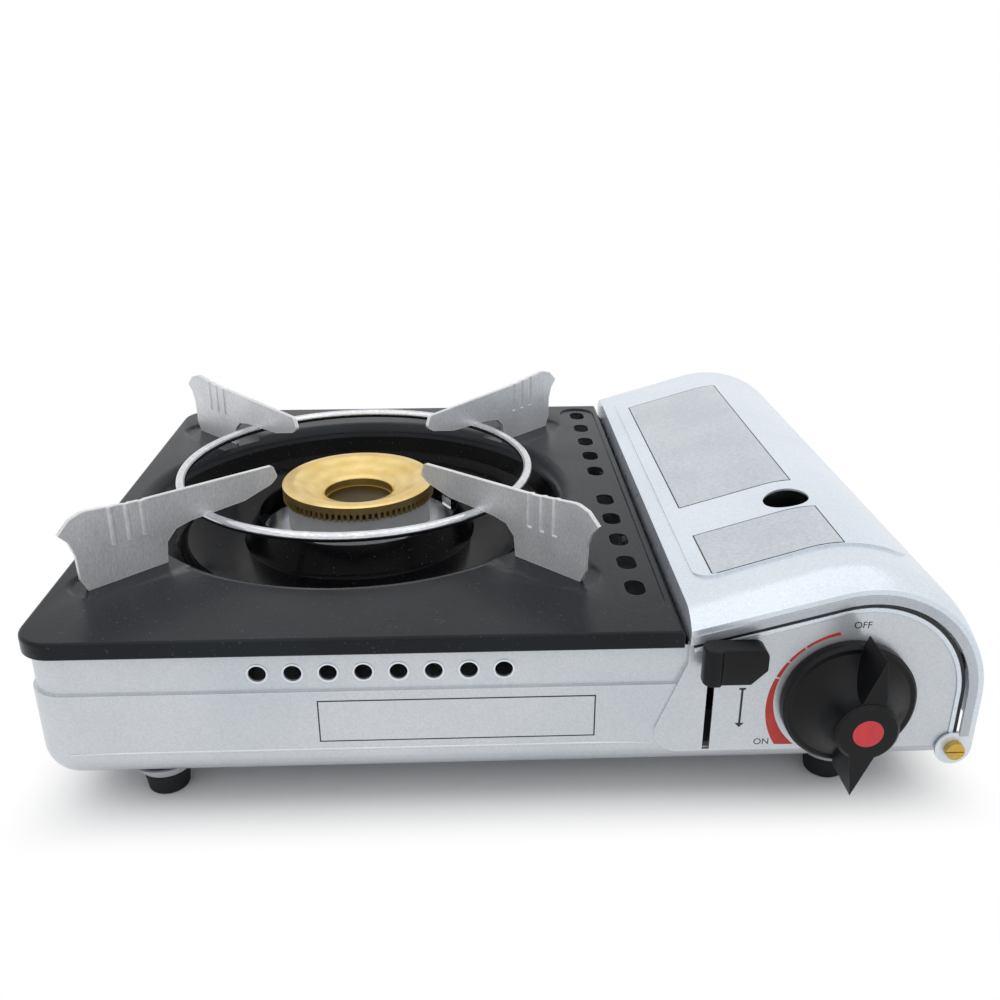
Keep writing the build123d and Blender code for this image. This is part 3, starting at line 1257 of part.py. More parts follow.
with BuildPart() as igniter_cam:
    lift = cam_rise / radians(knob_turn)
    lobe = 180 - knob_turn
    steps = [180 - knob_turn * index / 8 for index in range(9)]
    spiral = [((cam_radius + lift * radians(180 - angle)) * cos(radians(angle)),
               (cam_radius + lift * radians(180 - angle)) * sin(radians(angle))) for angle in steps]
    relief = (cam_radius * cos(radians(lobe - cam_relief)), cam_radius * sin(radians(lobe - cam_relief)))
    with BuildSketch(at_y(cam_back)) as cam_face:
        with BuildLine():
            Spline(*spiral)
            Line(spiral[-1], relief)
            ThreePointArc(relief, (0, -cam_radius), spiral[0])
        make_face()
        Circle(spindle_radius, mode=Mode.SUBTRACT)
    extrude(cam_face.sketch.moved(Location((knob_x, 0, knob_z))), amount=cam_thickness)

knob_depth = knob_back - hub_front
knob_axis = Axis((knob_x, 0, knob_z), (0, -1, 0))
with BuildPart() as control_knob:
    knob_side = Plane(origin=(knob_x, knob_back, knob_z), x_dir=(1, 0, 0), z_dir=(0, 0, 1))
    with BuildSketch(knob_side) as knob_half:
        with BuildLine():
            Line((0, 0), (knob_radius, 0))
            Line((knob_radius, 0), (knob_radius, knob_edge - knob_disc))
            Line((knob_radius, knob_edge - knob_disc), (knob_radius - knob_edge, -knob_disc))
            Line((knob_radius - knob_edge, -knob_disc), (knob_dish, -knob_disc))
            ThreePointArc((knob_dish, -knob_disc), (hub_radius + knob_waist, knob_edge - knob_depth / 2),
                          (hub_radius, knob_edge - knob_depth))
            Line((hub_radius, knob_edge - knob_depth), (hub_radius - knob_edge, -knob_depth))
            Line((hub_radius - knob_edge, -knob_depth), (0, -knob_depth))
            Line((0, -knob_depth), (0, 0))
        make_face()
    revolve(knob_half.sketch, axis=knob_axis)
    grip_across = (cos(radians(grip_lean)), 0, -sin(radians(grip_lean)))
    grip_back = (knob_x, knob_back - knob_disc + knob_edge, knob_z)
    for reach, step in ((fin_reach, fin_step), (-pointer_reach, 0)):
        with BuildSketch(Plane(origin=grip_back, x_dir=grip_across, z_dir=(0, -1, 0))) as fin:
            with BuildLine():
                Polyline((-fin_half, 0), (0, reach), (fin_half, 0), close=True)
            make_face()
        extrude(fin.sketch, amount=knob_depth - knob_disc + knob_edge - step)
    rod(insert_radius, (knob_x, hub_front, knob_z), (knob_x, hub_front + insert_depth, knob_z), Mode.SUBTRACT)
    rod(spindle_radius, (knob_x, knob_back, knob_z), (knob_x, spindle_front, knob_z), Mode.SUBTRACT)

with BuildPart() as knob_insert:
    rod(insert_radius, (knob_x, hub_front, knob_z), (knob_x, hub_front + insert_depth, knob_z))

# ================================================================ files
pieces = {
    "base_shell": base_shell.part, "feet": feet.part, "foot_screws": foot_screws.part,
    "chassis_screws": chassis_screws.part, "partition_wall": partition_wall.part,
    "regulator_bulkhead": regulator_bulkhead.part, "mounting_screws": mounting_screws.part,
    "cartridge_cradle": cartridge_cradle.part, "heat_transfer_plate": heat_transfer_plate.part,
    "top_plate": top_plate.part, "lid": lid.part, "hinge_screws": hinge_screws.part,
    "hinge_nuts": hinge_nuts.part, "support_ring": support_ring.part,
    "burner_cap": burner_cap.part, "burner_head": burner_head.part, "burner_collar": burner_collar.part,
    "burner_bracket": burner_bracket.part, "burner_screws": burner_screws.part,
    "mixing_tube": mixing_tube.part, "jet_bracket": jet_bracket.part, "jet_nozzle": jet_nozzle.part,
    "gas_tube": gas_tube.part, "electrode_ceramic": electrode_ceramic.part,
    "electrode_wire": electrode_wire.part, "electrode_bracket": electrode_bracket.part,
    "igniter_lead": igniter_lead.part, "igniter_body": igniter_body.part,
    "igniter_plunger": igniter_plunger.part, "igniter_bracket": igniter_bracket.part,
    "igniter_cam": igniter_cam.part, "valve_spindle": valve_spindle.part,
    "control_knob": control_knob.part, "knob_insert": knob_insert.part,
    "regulator_body": regulator_body.part, "regulator_cover": regulator_cover.part,
    "regulator_screws": regulator_screws.part, "inlet_seal": inlet_seal.part,
    "lever_arm": lever_arm.part, "lever_handle": lever_handle.part, "lever_pivot": lever_pivot.part,
    "cartridge_carriage": cartridge_carriage.part, "carriage_screws": carriage_screws.part,
}
for corner, angle in arm_angles.items():
    pieces[f"pan_support_{corner}"] = pan_support(angle)
for name, piece in pieces.items():
    piece.label = name
    export_step(piece, f"parts/{name}.step")
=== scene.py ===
"""Dresses a portable butane stove: its finishes, its printed marks, and a plain studio round it."""

import logging
import math
from dataclasses import dataclass
from enum import Enum
from typing import Any, Callable, ClassVar

import bmesh
import bpy
from mathutils import Matrix, Vector


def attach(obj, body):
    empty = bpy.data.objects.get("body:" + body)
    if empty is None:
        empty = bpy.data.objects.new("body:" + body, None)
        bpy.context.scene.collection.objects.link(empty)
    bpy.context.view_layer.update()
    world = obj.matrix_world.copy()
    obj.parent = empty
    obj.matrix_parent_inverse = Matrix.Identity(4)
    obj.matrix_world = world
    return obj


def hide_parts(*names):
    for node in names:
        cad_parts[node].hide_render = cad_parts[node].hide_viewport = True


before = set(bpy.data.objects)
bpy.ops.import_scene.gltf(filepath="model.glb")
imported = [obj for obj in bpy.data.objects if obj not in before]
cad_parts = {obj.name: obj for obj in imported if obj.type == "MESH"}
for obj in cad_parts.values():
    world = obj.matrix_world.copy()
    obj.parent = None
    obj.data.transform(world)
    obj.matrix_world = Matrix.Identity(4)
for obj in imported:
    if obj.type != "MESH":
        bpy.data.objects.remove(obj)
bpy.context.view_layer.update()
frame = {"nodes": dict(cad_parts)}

MM = 0.001
NEAR = 0.01 * MM  # Places this close together are the same.
WELD = 0.001 * MM  # Points this close together are merged.
ROUNDED = math.radians(40)  # An edge that turns by more than this is rounded.
SHARP = math.radians(50)  # An edge that then turns by more than this stays sharp.
FACING = 0.9  # A normal with this much of a direction faces that way.
BURNER_MM = (-64.0, 16.6)
UPRIGHT = (math.radians(90), 0.0, 0.0)
WAVE_TURN = 20  # A wave texture turns by this many radians in one unit at a scale of 1.
log = logging.getLogger("stove")

Point = tuple[float, float, float]
Span = tuple[float, float]
Edges = tuple[float, float, float, float]
Node = bpy.types.Node
Socket = bpy.types.NodeSocket
Tree = bpy.types.NodeTree


class Body(Enum):
    """The bodies of the stove that the pieces made here move with."""

    HOUSING = "housing"
    LID = "lid"
    KNOB = "knob"
    LEVER = "lever"


class Picked(Enum):
    """What a selection in edit mode is made of."""

    POINTS = "VERT"
    EDGES = "EDGE"
    FACES = "FACE"


# --- Small helpers for nodes and for modelling -------------------------------------------------


def linear(hex_colour: str) -> tuple[float, float, float, float]:
    """Turns an sRGB colour into the linear values that a shader takes.

    Args:
        hex_colour: The colour as #RRGGBB.

    Returns:
        Red, green, blue and an alpha of 1.
    """
    channels = [int(hex_colour[i : i + 2], 16) / 255 for i in (1, 3, 5)]
    red, green, blue = (c / 12.92 if c <= 0.04045 else ((c + 0.055) / 1.055) ** 2.4 for c in channels)
    return red, green, blue, 1.0


def per_size(size_mm: float) -> float:
    """Gives the texture scale whose features are about this many millimetres across."""
    return 1.0 / (size_mm * MM)


def add(tree: Tree, kind: str, inputs: dict[str | int, Any] | None = None, **settings: Any) -> Node:
    """Adds one node to a material, with its settings and with what feeds it.

    Args:
        tree: The material's node tree.
        kind: The node's name in Blender, without the "ShaderNode" that it starts with.
        inputs: For each input, by name or number, its value, or the socket or the node that
            feeds it. A node feeds it from its first output.
        **settings: The node's own properties.

    Returns:
        The new node.
    """
    node = tree.nodes.new("ShaderNode" + kind)
    for name, value in settings.items():
        setattr(node, name, value)
    for key, value in (inputs or {}).items():
        if isinstance(value, Node):
            value = value.outputs[0]
        if isinstance(value, Socket):
            tree.links.new(value, node.inputs[key])
        else:
            node.inputs[key].default_value = value
    return node


def lit(tree: Tree, colour: Socket, value: Socket, span: dict[int, float]) -> Socket:
    """Makes a colour darker and lighter as a value falls and rises.

    Args:
        tree: The material's node tree.
        colour: The colour.
        value: What the shade follows.
        span: The value's range and the shades that it gives, by the numbers of their inputs.

    Returns:
        The shaded colour.
    """
    shade = add(tree, "MapRange", {0: value, **span})
    return add(tree, "VectorMath", {0: colour, "Scale": shade}, operation="SCALE").outputs[0]


def select_nothing() -> None:
    """Leaves no object selected, because an operator acts on all that is."""
    for piece in bpy.context.selected_objects:
        piece.select_set(False)


def select_all() -> None:
    """Selects all of the mesh that is open in edit mode."""
    bpy.ops.mesh.select_all(action="SELECT")


def pick(kind: Picked, test: Callable[[Vector, Vector], bool]) -> None:
    """Selects what passes a test in the mesh that is open in edit mode.

    Args:
        kind: Whether points, edges or faces are selected.
        test: Gets the middle and the normal of each, and says whether it is selected.
    """
    bpy.ops.mesh.select_mode(type=kind.value)
    bpy.ops.mesh.select_all(action="DESELECT")
    mesh = bpy.context.edit_object.data
    work = bmesh.from_edit_mesh(mesh)
    parts = {Picked.POINTS: work.verts, Picked.EDGES: work.edges, Picked.FACES: work.faces}[kind]
    for part in parts:
        if kind is Picked.POINTS:
            middle, normal = part.co, part.normal
        elif kind is Picked.EDGES:
            one, other = part.verts
            middle, normal = (one.co + other.co) / 2, (one.normal + other.normal) / 2
        else:
            middle, normal = part.calc_center_median(), part.normal
        if test(middle, normal):
            part.select_set(True)
    work.select_flush_mode()
    bmesh.update_edit_mesh(mesh)


def extrude(x: float, y: float, z: float) -> None:
    """Extrudes what is selected and moves it by this much."""
    bpy.ops.mesh.extrude_region_move(TRANSFORM_OT_translate={"value": (x, y, z)})


def resize(x: float, y: float, z: float, centre: Point) -> None:
    """Resizes what is selected about a centre."""
    bpy.ops.transform.resize(value=(x, y, z), center_override=centre)


def place_in_mesh() -> None:
    """Moves the active piece's place, turn and size into its mesh."""
    bpy.ops.object.transform_apply(location=True, rotation=True, scale=True)


def open_mesh() -> None:
    """Opens the active piece in edit mode, with its place in its mesh."""
    place_in_mesh()
    bpy.ops.object.mode_set(mode="EDIT")


def close_mesh() -> None:
    """Leaves edit mode."""
    bpy.ops.object.mode_set(mode="OBJECT")


def face_outwards() -> None:
    """Turns all faces of the open mesh outwards and selects them."""
    select_all()
    bpy.ops.mesh.normals_make_consistent(inside=False)


def apply_modifier(name: str, kind: str, **settings: Any) -> None:
    """Gives the active piece a modifier and applies it.

    Args:
        name: The modifier's name.
        kind: The modifier's type.
        **settings: The modifier's own properties.
    """
    modifier = bpy.context.active_object.modifiers.new(name, kind)
    for setting, value in settings.items():
        setattr(modifier, setting, value)
    bpy.ops.object.modifier_apply(modifier=modifier.name)


def copy_of(part: bpy.types.Object) -> bpy.types.Object:
    """Opens a copy of a part in edit mode, with its loose triangles joined.

    Args:
        part: The part, which stays as it is.

    Returns:
        The copy, all of it selected.
    """
    select_nothing()
    bpy.ops.object.add(type="MESH")
    piece = bpy.context.active_object
    piece.data = part.data.copy()
    piece.data.materials.clear()
    bpy.ops.mesh.customdata_custom_splitnormals_clear()
    bpy.ops.object.mode_set(mode="EDIT")
    select_all()
    bpy.ops.mesh.remove_doubles(threshold=WELD)
    return piece


def add_sheet(cells: tuple[int, int], middle: Point, size: Span, upright: bool) -> None:
    """Adds a flat sheet that is divided into cells.

    Args:
        cells: How many cells it has along each side.
        middle: Its middle.
        size: Its width, and its height or depth.
        upright: Whether it stands, facing the front, or lies.
    """
    select_nothing()
    bpy.ops.mesh.primitive_grid_add(
        x_subdivisions=cells[0], y_subdivisions=cells[1], size=1.0, location=middle,
        rotation=UPRIGHT if upright else (0.0, 0.0, 0.0),
    )
    wide, long = size
    bpy.ops.transform.resize(value=(wide, 1.0, long) if upright else (wide, long, 1.0))


def frame_in_ink(line: float) -> None:
    """Gives the active sheet a printed frame, whose faces have number 1.

    Args:
        line: How wide the line is.
    """
    open_mesh()
    bpy.ops.mesh.select_mode(type="FACE")
    select_all()
    bpy.ops.mesh.inset(thickness=line)
    bpy.ops.mesh.select_all(action="INVERT")
    sheet = bpy.context.edit_object
    work = bmesh.from_edit_mesh(sheet.data)
    for face in work.faces:
        face.material_index = int(face.select)
    bmesh.update_edit_mesh(sheet.data)
    close_mesh()


def from_burner(place: Vector) -> float:
    """Gives how far a place is from the burner's axis."""
    return math.hypot(place.x - BURNER_MM[0] * MM, place.y - BURNER_MM[1] * MM)


def soften(radius: float, segments: int = 4) -> None:
    """Rounds the edges of the active piece and shades it smooth.

    Args:
        radius: The radius of its rounded edges.
        segments: How many flats make up the round.
    """
    apply_modifier(
        "rounding", "BEVEL", width=radius, segments=segments, limit_method="ANGLE",
        angle_limit=ROUNDED,
    )
    bpy.ops.object.shade_smooth_by_angle(angle=SHARP)


def smooth_copy(angle: float) -> None:
    """Closes the copy of a part and shades it smooth, with its flat faces kept flat.

    Args:
        angle: The angle in degrees from which an edge stays sharp.
    """
    close_mesh()
    bpy.ops.object.shade_smooth_by_angle(angle=math.radians(angle))
    apply_modifier("flats", "WEIGHTED_NORMAL", keep_sharp=True, weight=100)


def finished(name: str, body: Body, slot: str, *finishes: bpy.types.Material) -> None:
    """Ends the modelling of the active piece: its place goes into its mesh and it gets its finish.

    Args:
        name: The piece's name.
        body: The body that it moves with.
        slot: Names a material slot; not used.
        *finishes: Its materials, in the order of its faces' numbers.
    """
    close_mesh()
    place_in_mesh()
    piece = bpy.context.active_object
    piece.name = piece.data.name = name
    for material in finishes:
        piece.data.materials.append(material)
    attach(piece, body.value)
    piece.select_set(False)
    log.info("%s: %d faces, moves with the %s", name, len(piece.data.polygons), body.value)


# --- Finishes ------------------------------------------------------------------------------------


@dataclass(frozen=True)
class Finish:
    """What every finish has: uneven colour, uneven gloss, a grain and, on some, worn edges.

    The sizes are in millimetres. The roughness goes from its first to its second value.
    """

    name: str
    colour: str
    patches: str
    patch_mm: float
    roughness: Span
    grain_mm: float
    depth_mm: float
    metallic: float = 0.0
    specular: float = 0.5
    worn: str = ""
    edge_mm: float = 0.5
    wear: float = 1.0
    # Between which values the patches, the smears and the turn of an edge come in.
    patch_range: ClassVar[Span] = (0.35, 0.65)
    smear_mm: ClassVar[float] = 23.0
    smear_range: ClassVar[Span] = (0.3, 0.7)
    edge_range: ClassVar[Span] = (0.97, 0.8)

    def relief(self, tree: Tree, place: Socket) -> Socket:
        """Makes the height of the grain, here an even one."""
        scale = per_size(self.grain_mm)
        return add(tree, "TexNoise", {"Vector": place, "Scale": scale, "Detail": 3.0}).outputs[0]

    def tint(self, tree: Tree, place: Socket, height: Socket) -> Socket:
        """Makes the colour before wear, which drifts between two shades.

        Args:
            tree: The material's node tree.
            place: The place on the object.
            height: The height of the grain, which some finishes show in their colour.

        Returns:
            The colour.
        """
        noise = add(tree, "TexNoise", {"Vector": place, "Scale": per_size(self.patch_mm), "Detail": 4.0})
        low, high = self.patch_range
        share = add(tree, "MapRange", {0: noise, 1: low, 2: high})
        shades = {0: share, 6: linear(self.colour), 7: linear(self.patches)}
        return add(tree, "Mix", shades, data_type="RGBA").outputs[2]

    def rub(self, tree: Tree, colour: Socket, smears: Node) -> Socket:
        """Wears the edges, more in some places than in others.

        Args:
            tree: The material's node tree.
            colour: The colour away from the edges.
            smears: The pattern that breaks up the wear.

        Returns:
            The colour with its worn edges.
        """
        rounded = add(tree, "Bevel", {"Radius": self.edge_mm * MM}, samples=4)
        flat = add(tree, "NewGeometry").outputs["Normal"]
        likeness = add(tree, "VectorMath", {0: rounded, 1: flat}, operation="DOT_PRODUCT")
        none, full = self.edge_range
        edge = add(tree, "MapRange", {0: likeness.outputs["Value"], 1: none, 2: full, 4: self.wear})
        share = add(tree, "Math", {0: edge, 1: smears}, operation="MULTIPLY", use_clamp=True)
        shades = {0: share, 6: colour, 7: linear(self.worn)}
        return add(tree, "Mix", shades, data_type="RGBA").outputs[2]

    def build(self) -> bpy.types.Material:
        """Makes the material.

        Returns:
            The material, whose only shader is one Principled BSDF.
        """
        material = bpy.data.materials.new(self.name)
        material.use_nodes = True
        tree = material.node_tree
        shader = tree.nodes["Principled BSDF"]
        shader.inputs["Metallic"].default_value = self.metallic
        shader.inputs["Specular IOR Level"].default_value = self.specular
        place = add(tree, "TexCoord").outputs["Object"]
        height = self.relief(tree, place)
        colour = self.tint(tree, place, height)
        smears = add(tree, "TexNoise", {"Vector": place, "Scale": per_size(self.smear_mm), "Detail": 5.0})
        if self.worn:
            colour = self.rub(tree, colour, smears)
        low, high = self.smear_range
        least, most = self.roughness
        gloss = add(tree, "MapRange", {0: smears, 1: low, 2: high, 3: least, 4: most})
        bump = add(tree, "Bump", {"Height": height, "Distance": self.depth_mm * MM, "Strength": 1.0})
        tree.links.new(colour, shader.inputs["Base Color"])
        tree.links.new(gloss.outputs[0], shader.inputs["Roughness"])
        tree.links.new(bump.outputs[0], shader.inputs["Normal"])
        return material


@dataclass(frozen=True)
class MetallicEnamel(Finish):
    """Sprayed and baked enamel with aluminium flakes: a satin silver that glitters a little."""

    # Real flakes are finer than 0.1 mm. They are drawn coarser, so that they show.
    flake_mm: ClassVar[float] = 0.5
    flake_shades: ClassVar[dict[int, float]] = {3: 0.93, 4: 1.05}

    def tint(self, tree: Tree, place: Socket, height: Socket) -> Socket:
        """Adds the flakes, each a shade lighter or darker, to the drifting colour.

        Args:
            tree: The material's node tree.
            place: The place on the object.
            height: The height of the grain.

        Returns:
            The colour.
        """
        flakes = add(tree, "TexVoronoi", {"Vector": place, "Scale": per_size(self.flake_mm)})
        flake = add(tree, "SeparateColor", {0: flakes.outputs["Color"]})
        ground = super().tint(tree, place, height)
        return lit(tree, ground, flake.outputs[0], self.flake_shades)


@dataclass(frozen=True)
class GlassEnamel(Finish):
    """Fired glass enamel on steel: deep black, glossy, with a slight orange peel and fine dust."""

    dust: ClassVar[str] = "#5A5E64"
    dust_mm: ClassVar[float] = 1.1
    dust_range: ClassVar[dict[int, float]] = {1: 0.69, 2: 0.74, 4: 0.5}

    def tint(self, tree: Tree, place: Socket, height: Socket) -> Socket:
        """Adds specks of dust to the drifting black.

        Args:
            tree: The material's node tree.
            place: The place on the object.
            height: The height of the grain.

        Returns:
            The colour.
        """
        specks = add(tree, "TexNoise", {"Vector": place, "Scale": per_size(self.dust_mm), "Detail": 2.0})
        few = add(tree, "MapRange", {0: specks, **self.dust_range})
        shades = {0: few, 6: super().tint(tree, place, height), 7: linear(self.dust)}
        return add(tree, "Mix", shades, data_type="RGBA").outputs[2]


@dataclass(frozen=True)
class RolledSteel(Finish):
    """Cold-rolled sheet with its grain along one direction, as pulled through the rolls.

    The real grain is finer than 0.1 mm. It is drawn coarser, so that it shows.
    """

    along: Point = (1.0, 1.0, 0.2)
    grain_shades: ClassVar[dict[int, float]] = {1: 0.25, 2: 0.75, 3: 0.84, 4: 1.12}

    def relief(self, tree: Tree, place: Socket) -> Socket:
        """Stretches the grain along the direction in which the sheet was rolled."""
        drawn = add(tree, "Mapping", {"Vector": place, "Scale": self.along})
        return super().relief(tree, drawn.outputs[0])

    def tint(self, tree: Tree, place: Socket, height: Socket) -> Socket:
        """Lets the grain show in the colour too, as it does on pickled steel."""
        return lit(tree, super().tint(tree, place, height), height, self.grain_shades)


@dataclass(frozen=True)
class TurnedMetal(Finish):
    """Metal turned on a lathe: fine rings round the piece's own axis, brighter on their crests.

    The pattern turns by a radian in each ring_mm, so its rings are 6.3 times that apart. That is
    much coarser than a lathe's feed of about 0.2 mm, so that the rings show.
    """

    axis_mm: Span = (0.0, 0.0)
    ring_mm: float = 0.9
    ring_shades: ClassVar[dict[int, float]] = {3: 0.9, 4: 1.06}
    grain_share: ClassVar[float] = 0.35

    def centring(self) -> Point:
        """Gives the move that brings the piece's axis to the middle of a pattern."""
        return (-self.axis_mm[0] * MM, -self.axis_mm[1] * MM, 0.0)

    def relief(self, tree: Tree, place: Socket) -> Socket:
        """Makes the rings that the lathe tool leaves, a little broken up.

        Args:
            tree: The material's node tree.
            place: The place on the object.

        Returns:
            The height, from 0 to 1.
        """
        centred = add(tree, "Mapping", {"Vector": place, "Location": self.centring()})
        rings = add(
            tree, "TexWave",
            {"Vector": centred, "Scale": per_size(self.ring_mm) / WAVE_TURN, "Distortion": 1.5,
             "Detail": 2.0, "Detail Scale": 3.0},
            wave_type="RINGS", rings_direction="Z",
        )
        grain = super().relief(tree, place)
        return add(tree, "Mix", {0: self.grain_share, 2: rings.outputs["Fac"], 3: grain}).outputs[0]

    def tint(self, tree: Tree, place: Socket, height: Socket) -> Socket:
        """Lets the rings show in the colour."""
        return lit(tree, super().tint(tree, place, height), height, self.ring_shades)


@dataclass(frozen=True)
class FlamedBrass(TurnedMetal):
    """Turned brass darkened within its hole as painted shade, with a clean edge to the bright top."""

    hole_mm: ClassVar[float] = 15.6
    blur_mm: ClassVar[float] = 0.8
    soot: ClassVar[str] = "#33270E"

    def tint(self, tree: Tree, place: Socket, height: Socket) -> Socket:
        """Darkens the turned brass within the hole: painted shade.

        Args:
            tree: The material's node tree.
            place: The place on the object.
            height: The height of the rings.

        Returns:
            The colour.
        """
        flat = {"Vector": place, "Location": self.centring(), "Scale": (1.0, 1.0, 0.0)}
        reach = add(tree, "VectorMath", {0: add(tree, "Mapping", flat)}, operation="LENGTH")
        outer, inner = (self.hole_mm + self.blur_mm) * MM, (self.hole_mm - self.blur_mm) * MM
        inside = add(tree, "MapRange", {0: reach.outputs["Value"], 1: outer, 2: inner})
        # Dark brown within the hole: painted shade.
        shades = {0: inside, 6: super().tint(tree, place, height), 7: linear(self.soot)}
        return add(tree, "Mix", shades, data_type="RGBA").outputs[2]


@dataclass(frozen=True)
class Moulded(Finish):
    """Plastic or rubber from a spark-eroded mould: a fine pebbled skin with a low sheen.

    The real pebbles are finer than 0.1 mm. They are drawn coarser, so that they show.
    """

    fine_share: ClassVar[float] = 0.4

    def relief(self, tree: Tree, place: Socket) -> Socket:
        """Makes rounded pebbles of two sizes.

        Args:
            tree: The material's node tree.
            place: The place on the object.

        Returns:
            The height, from 0 to 1.
        """
        scale = per_size(self.grain_mm)
        pebbles = add(tree, "TexVoronoi", {"Vector": place, "Scale": scale}, feature="SMOOTH_F1")
        fine = super().relief(tree, place)
        both = {0: self.fine_share, 2: pebbles.outputs["Distance"], 3: fine}
        return add(tree, "Mix", both).outputs[0]


@dataclass(frozen=True)
class Braided(Finish):
    """Glass-fibre sleeving: threads that cross each other, dipped in silicone.

    The threads turn by a radian in each grain_mm, which is coarser than real ones, so they show.
    """

    def relief(self, tree: Tree, place: Socket) -> Socket:
        """Crosses two sets of threads.

        Args:
            tree: The material's node tree.
            place: The place on the object.

        Returns:
            The height, from 0 to 1.
        """
        thread = {"Vector": place, "Scale": per_size(self.grain_mm) / WAVE_TURN, "Distortion": 0.6}
        one, other = (
            add(tree, "TexWave", thread, bands_direction=direction).outputs["Fac"]
            for direction in ("DIAGONAL", "Z")
        )
        return add(tree, "Math", {0: one, 1: other}, operation="MAXIMUM").outputs[0]


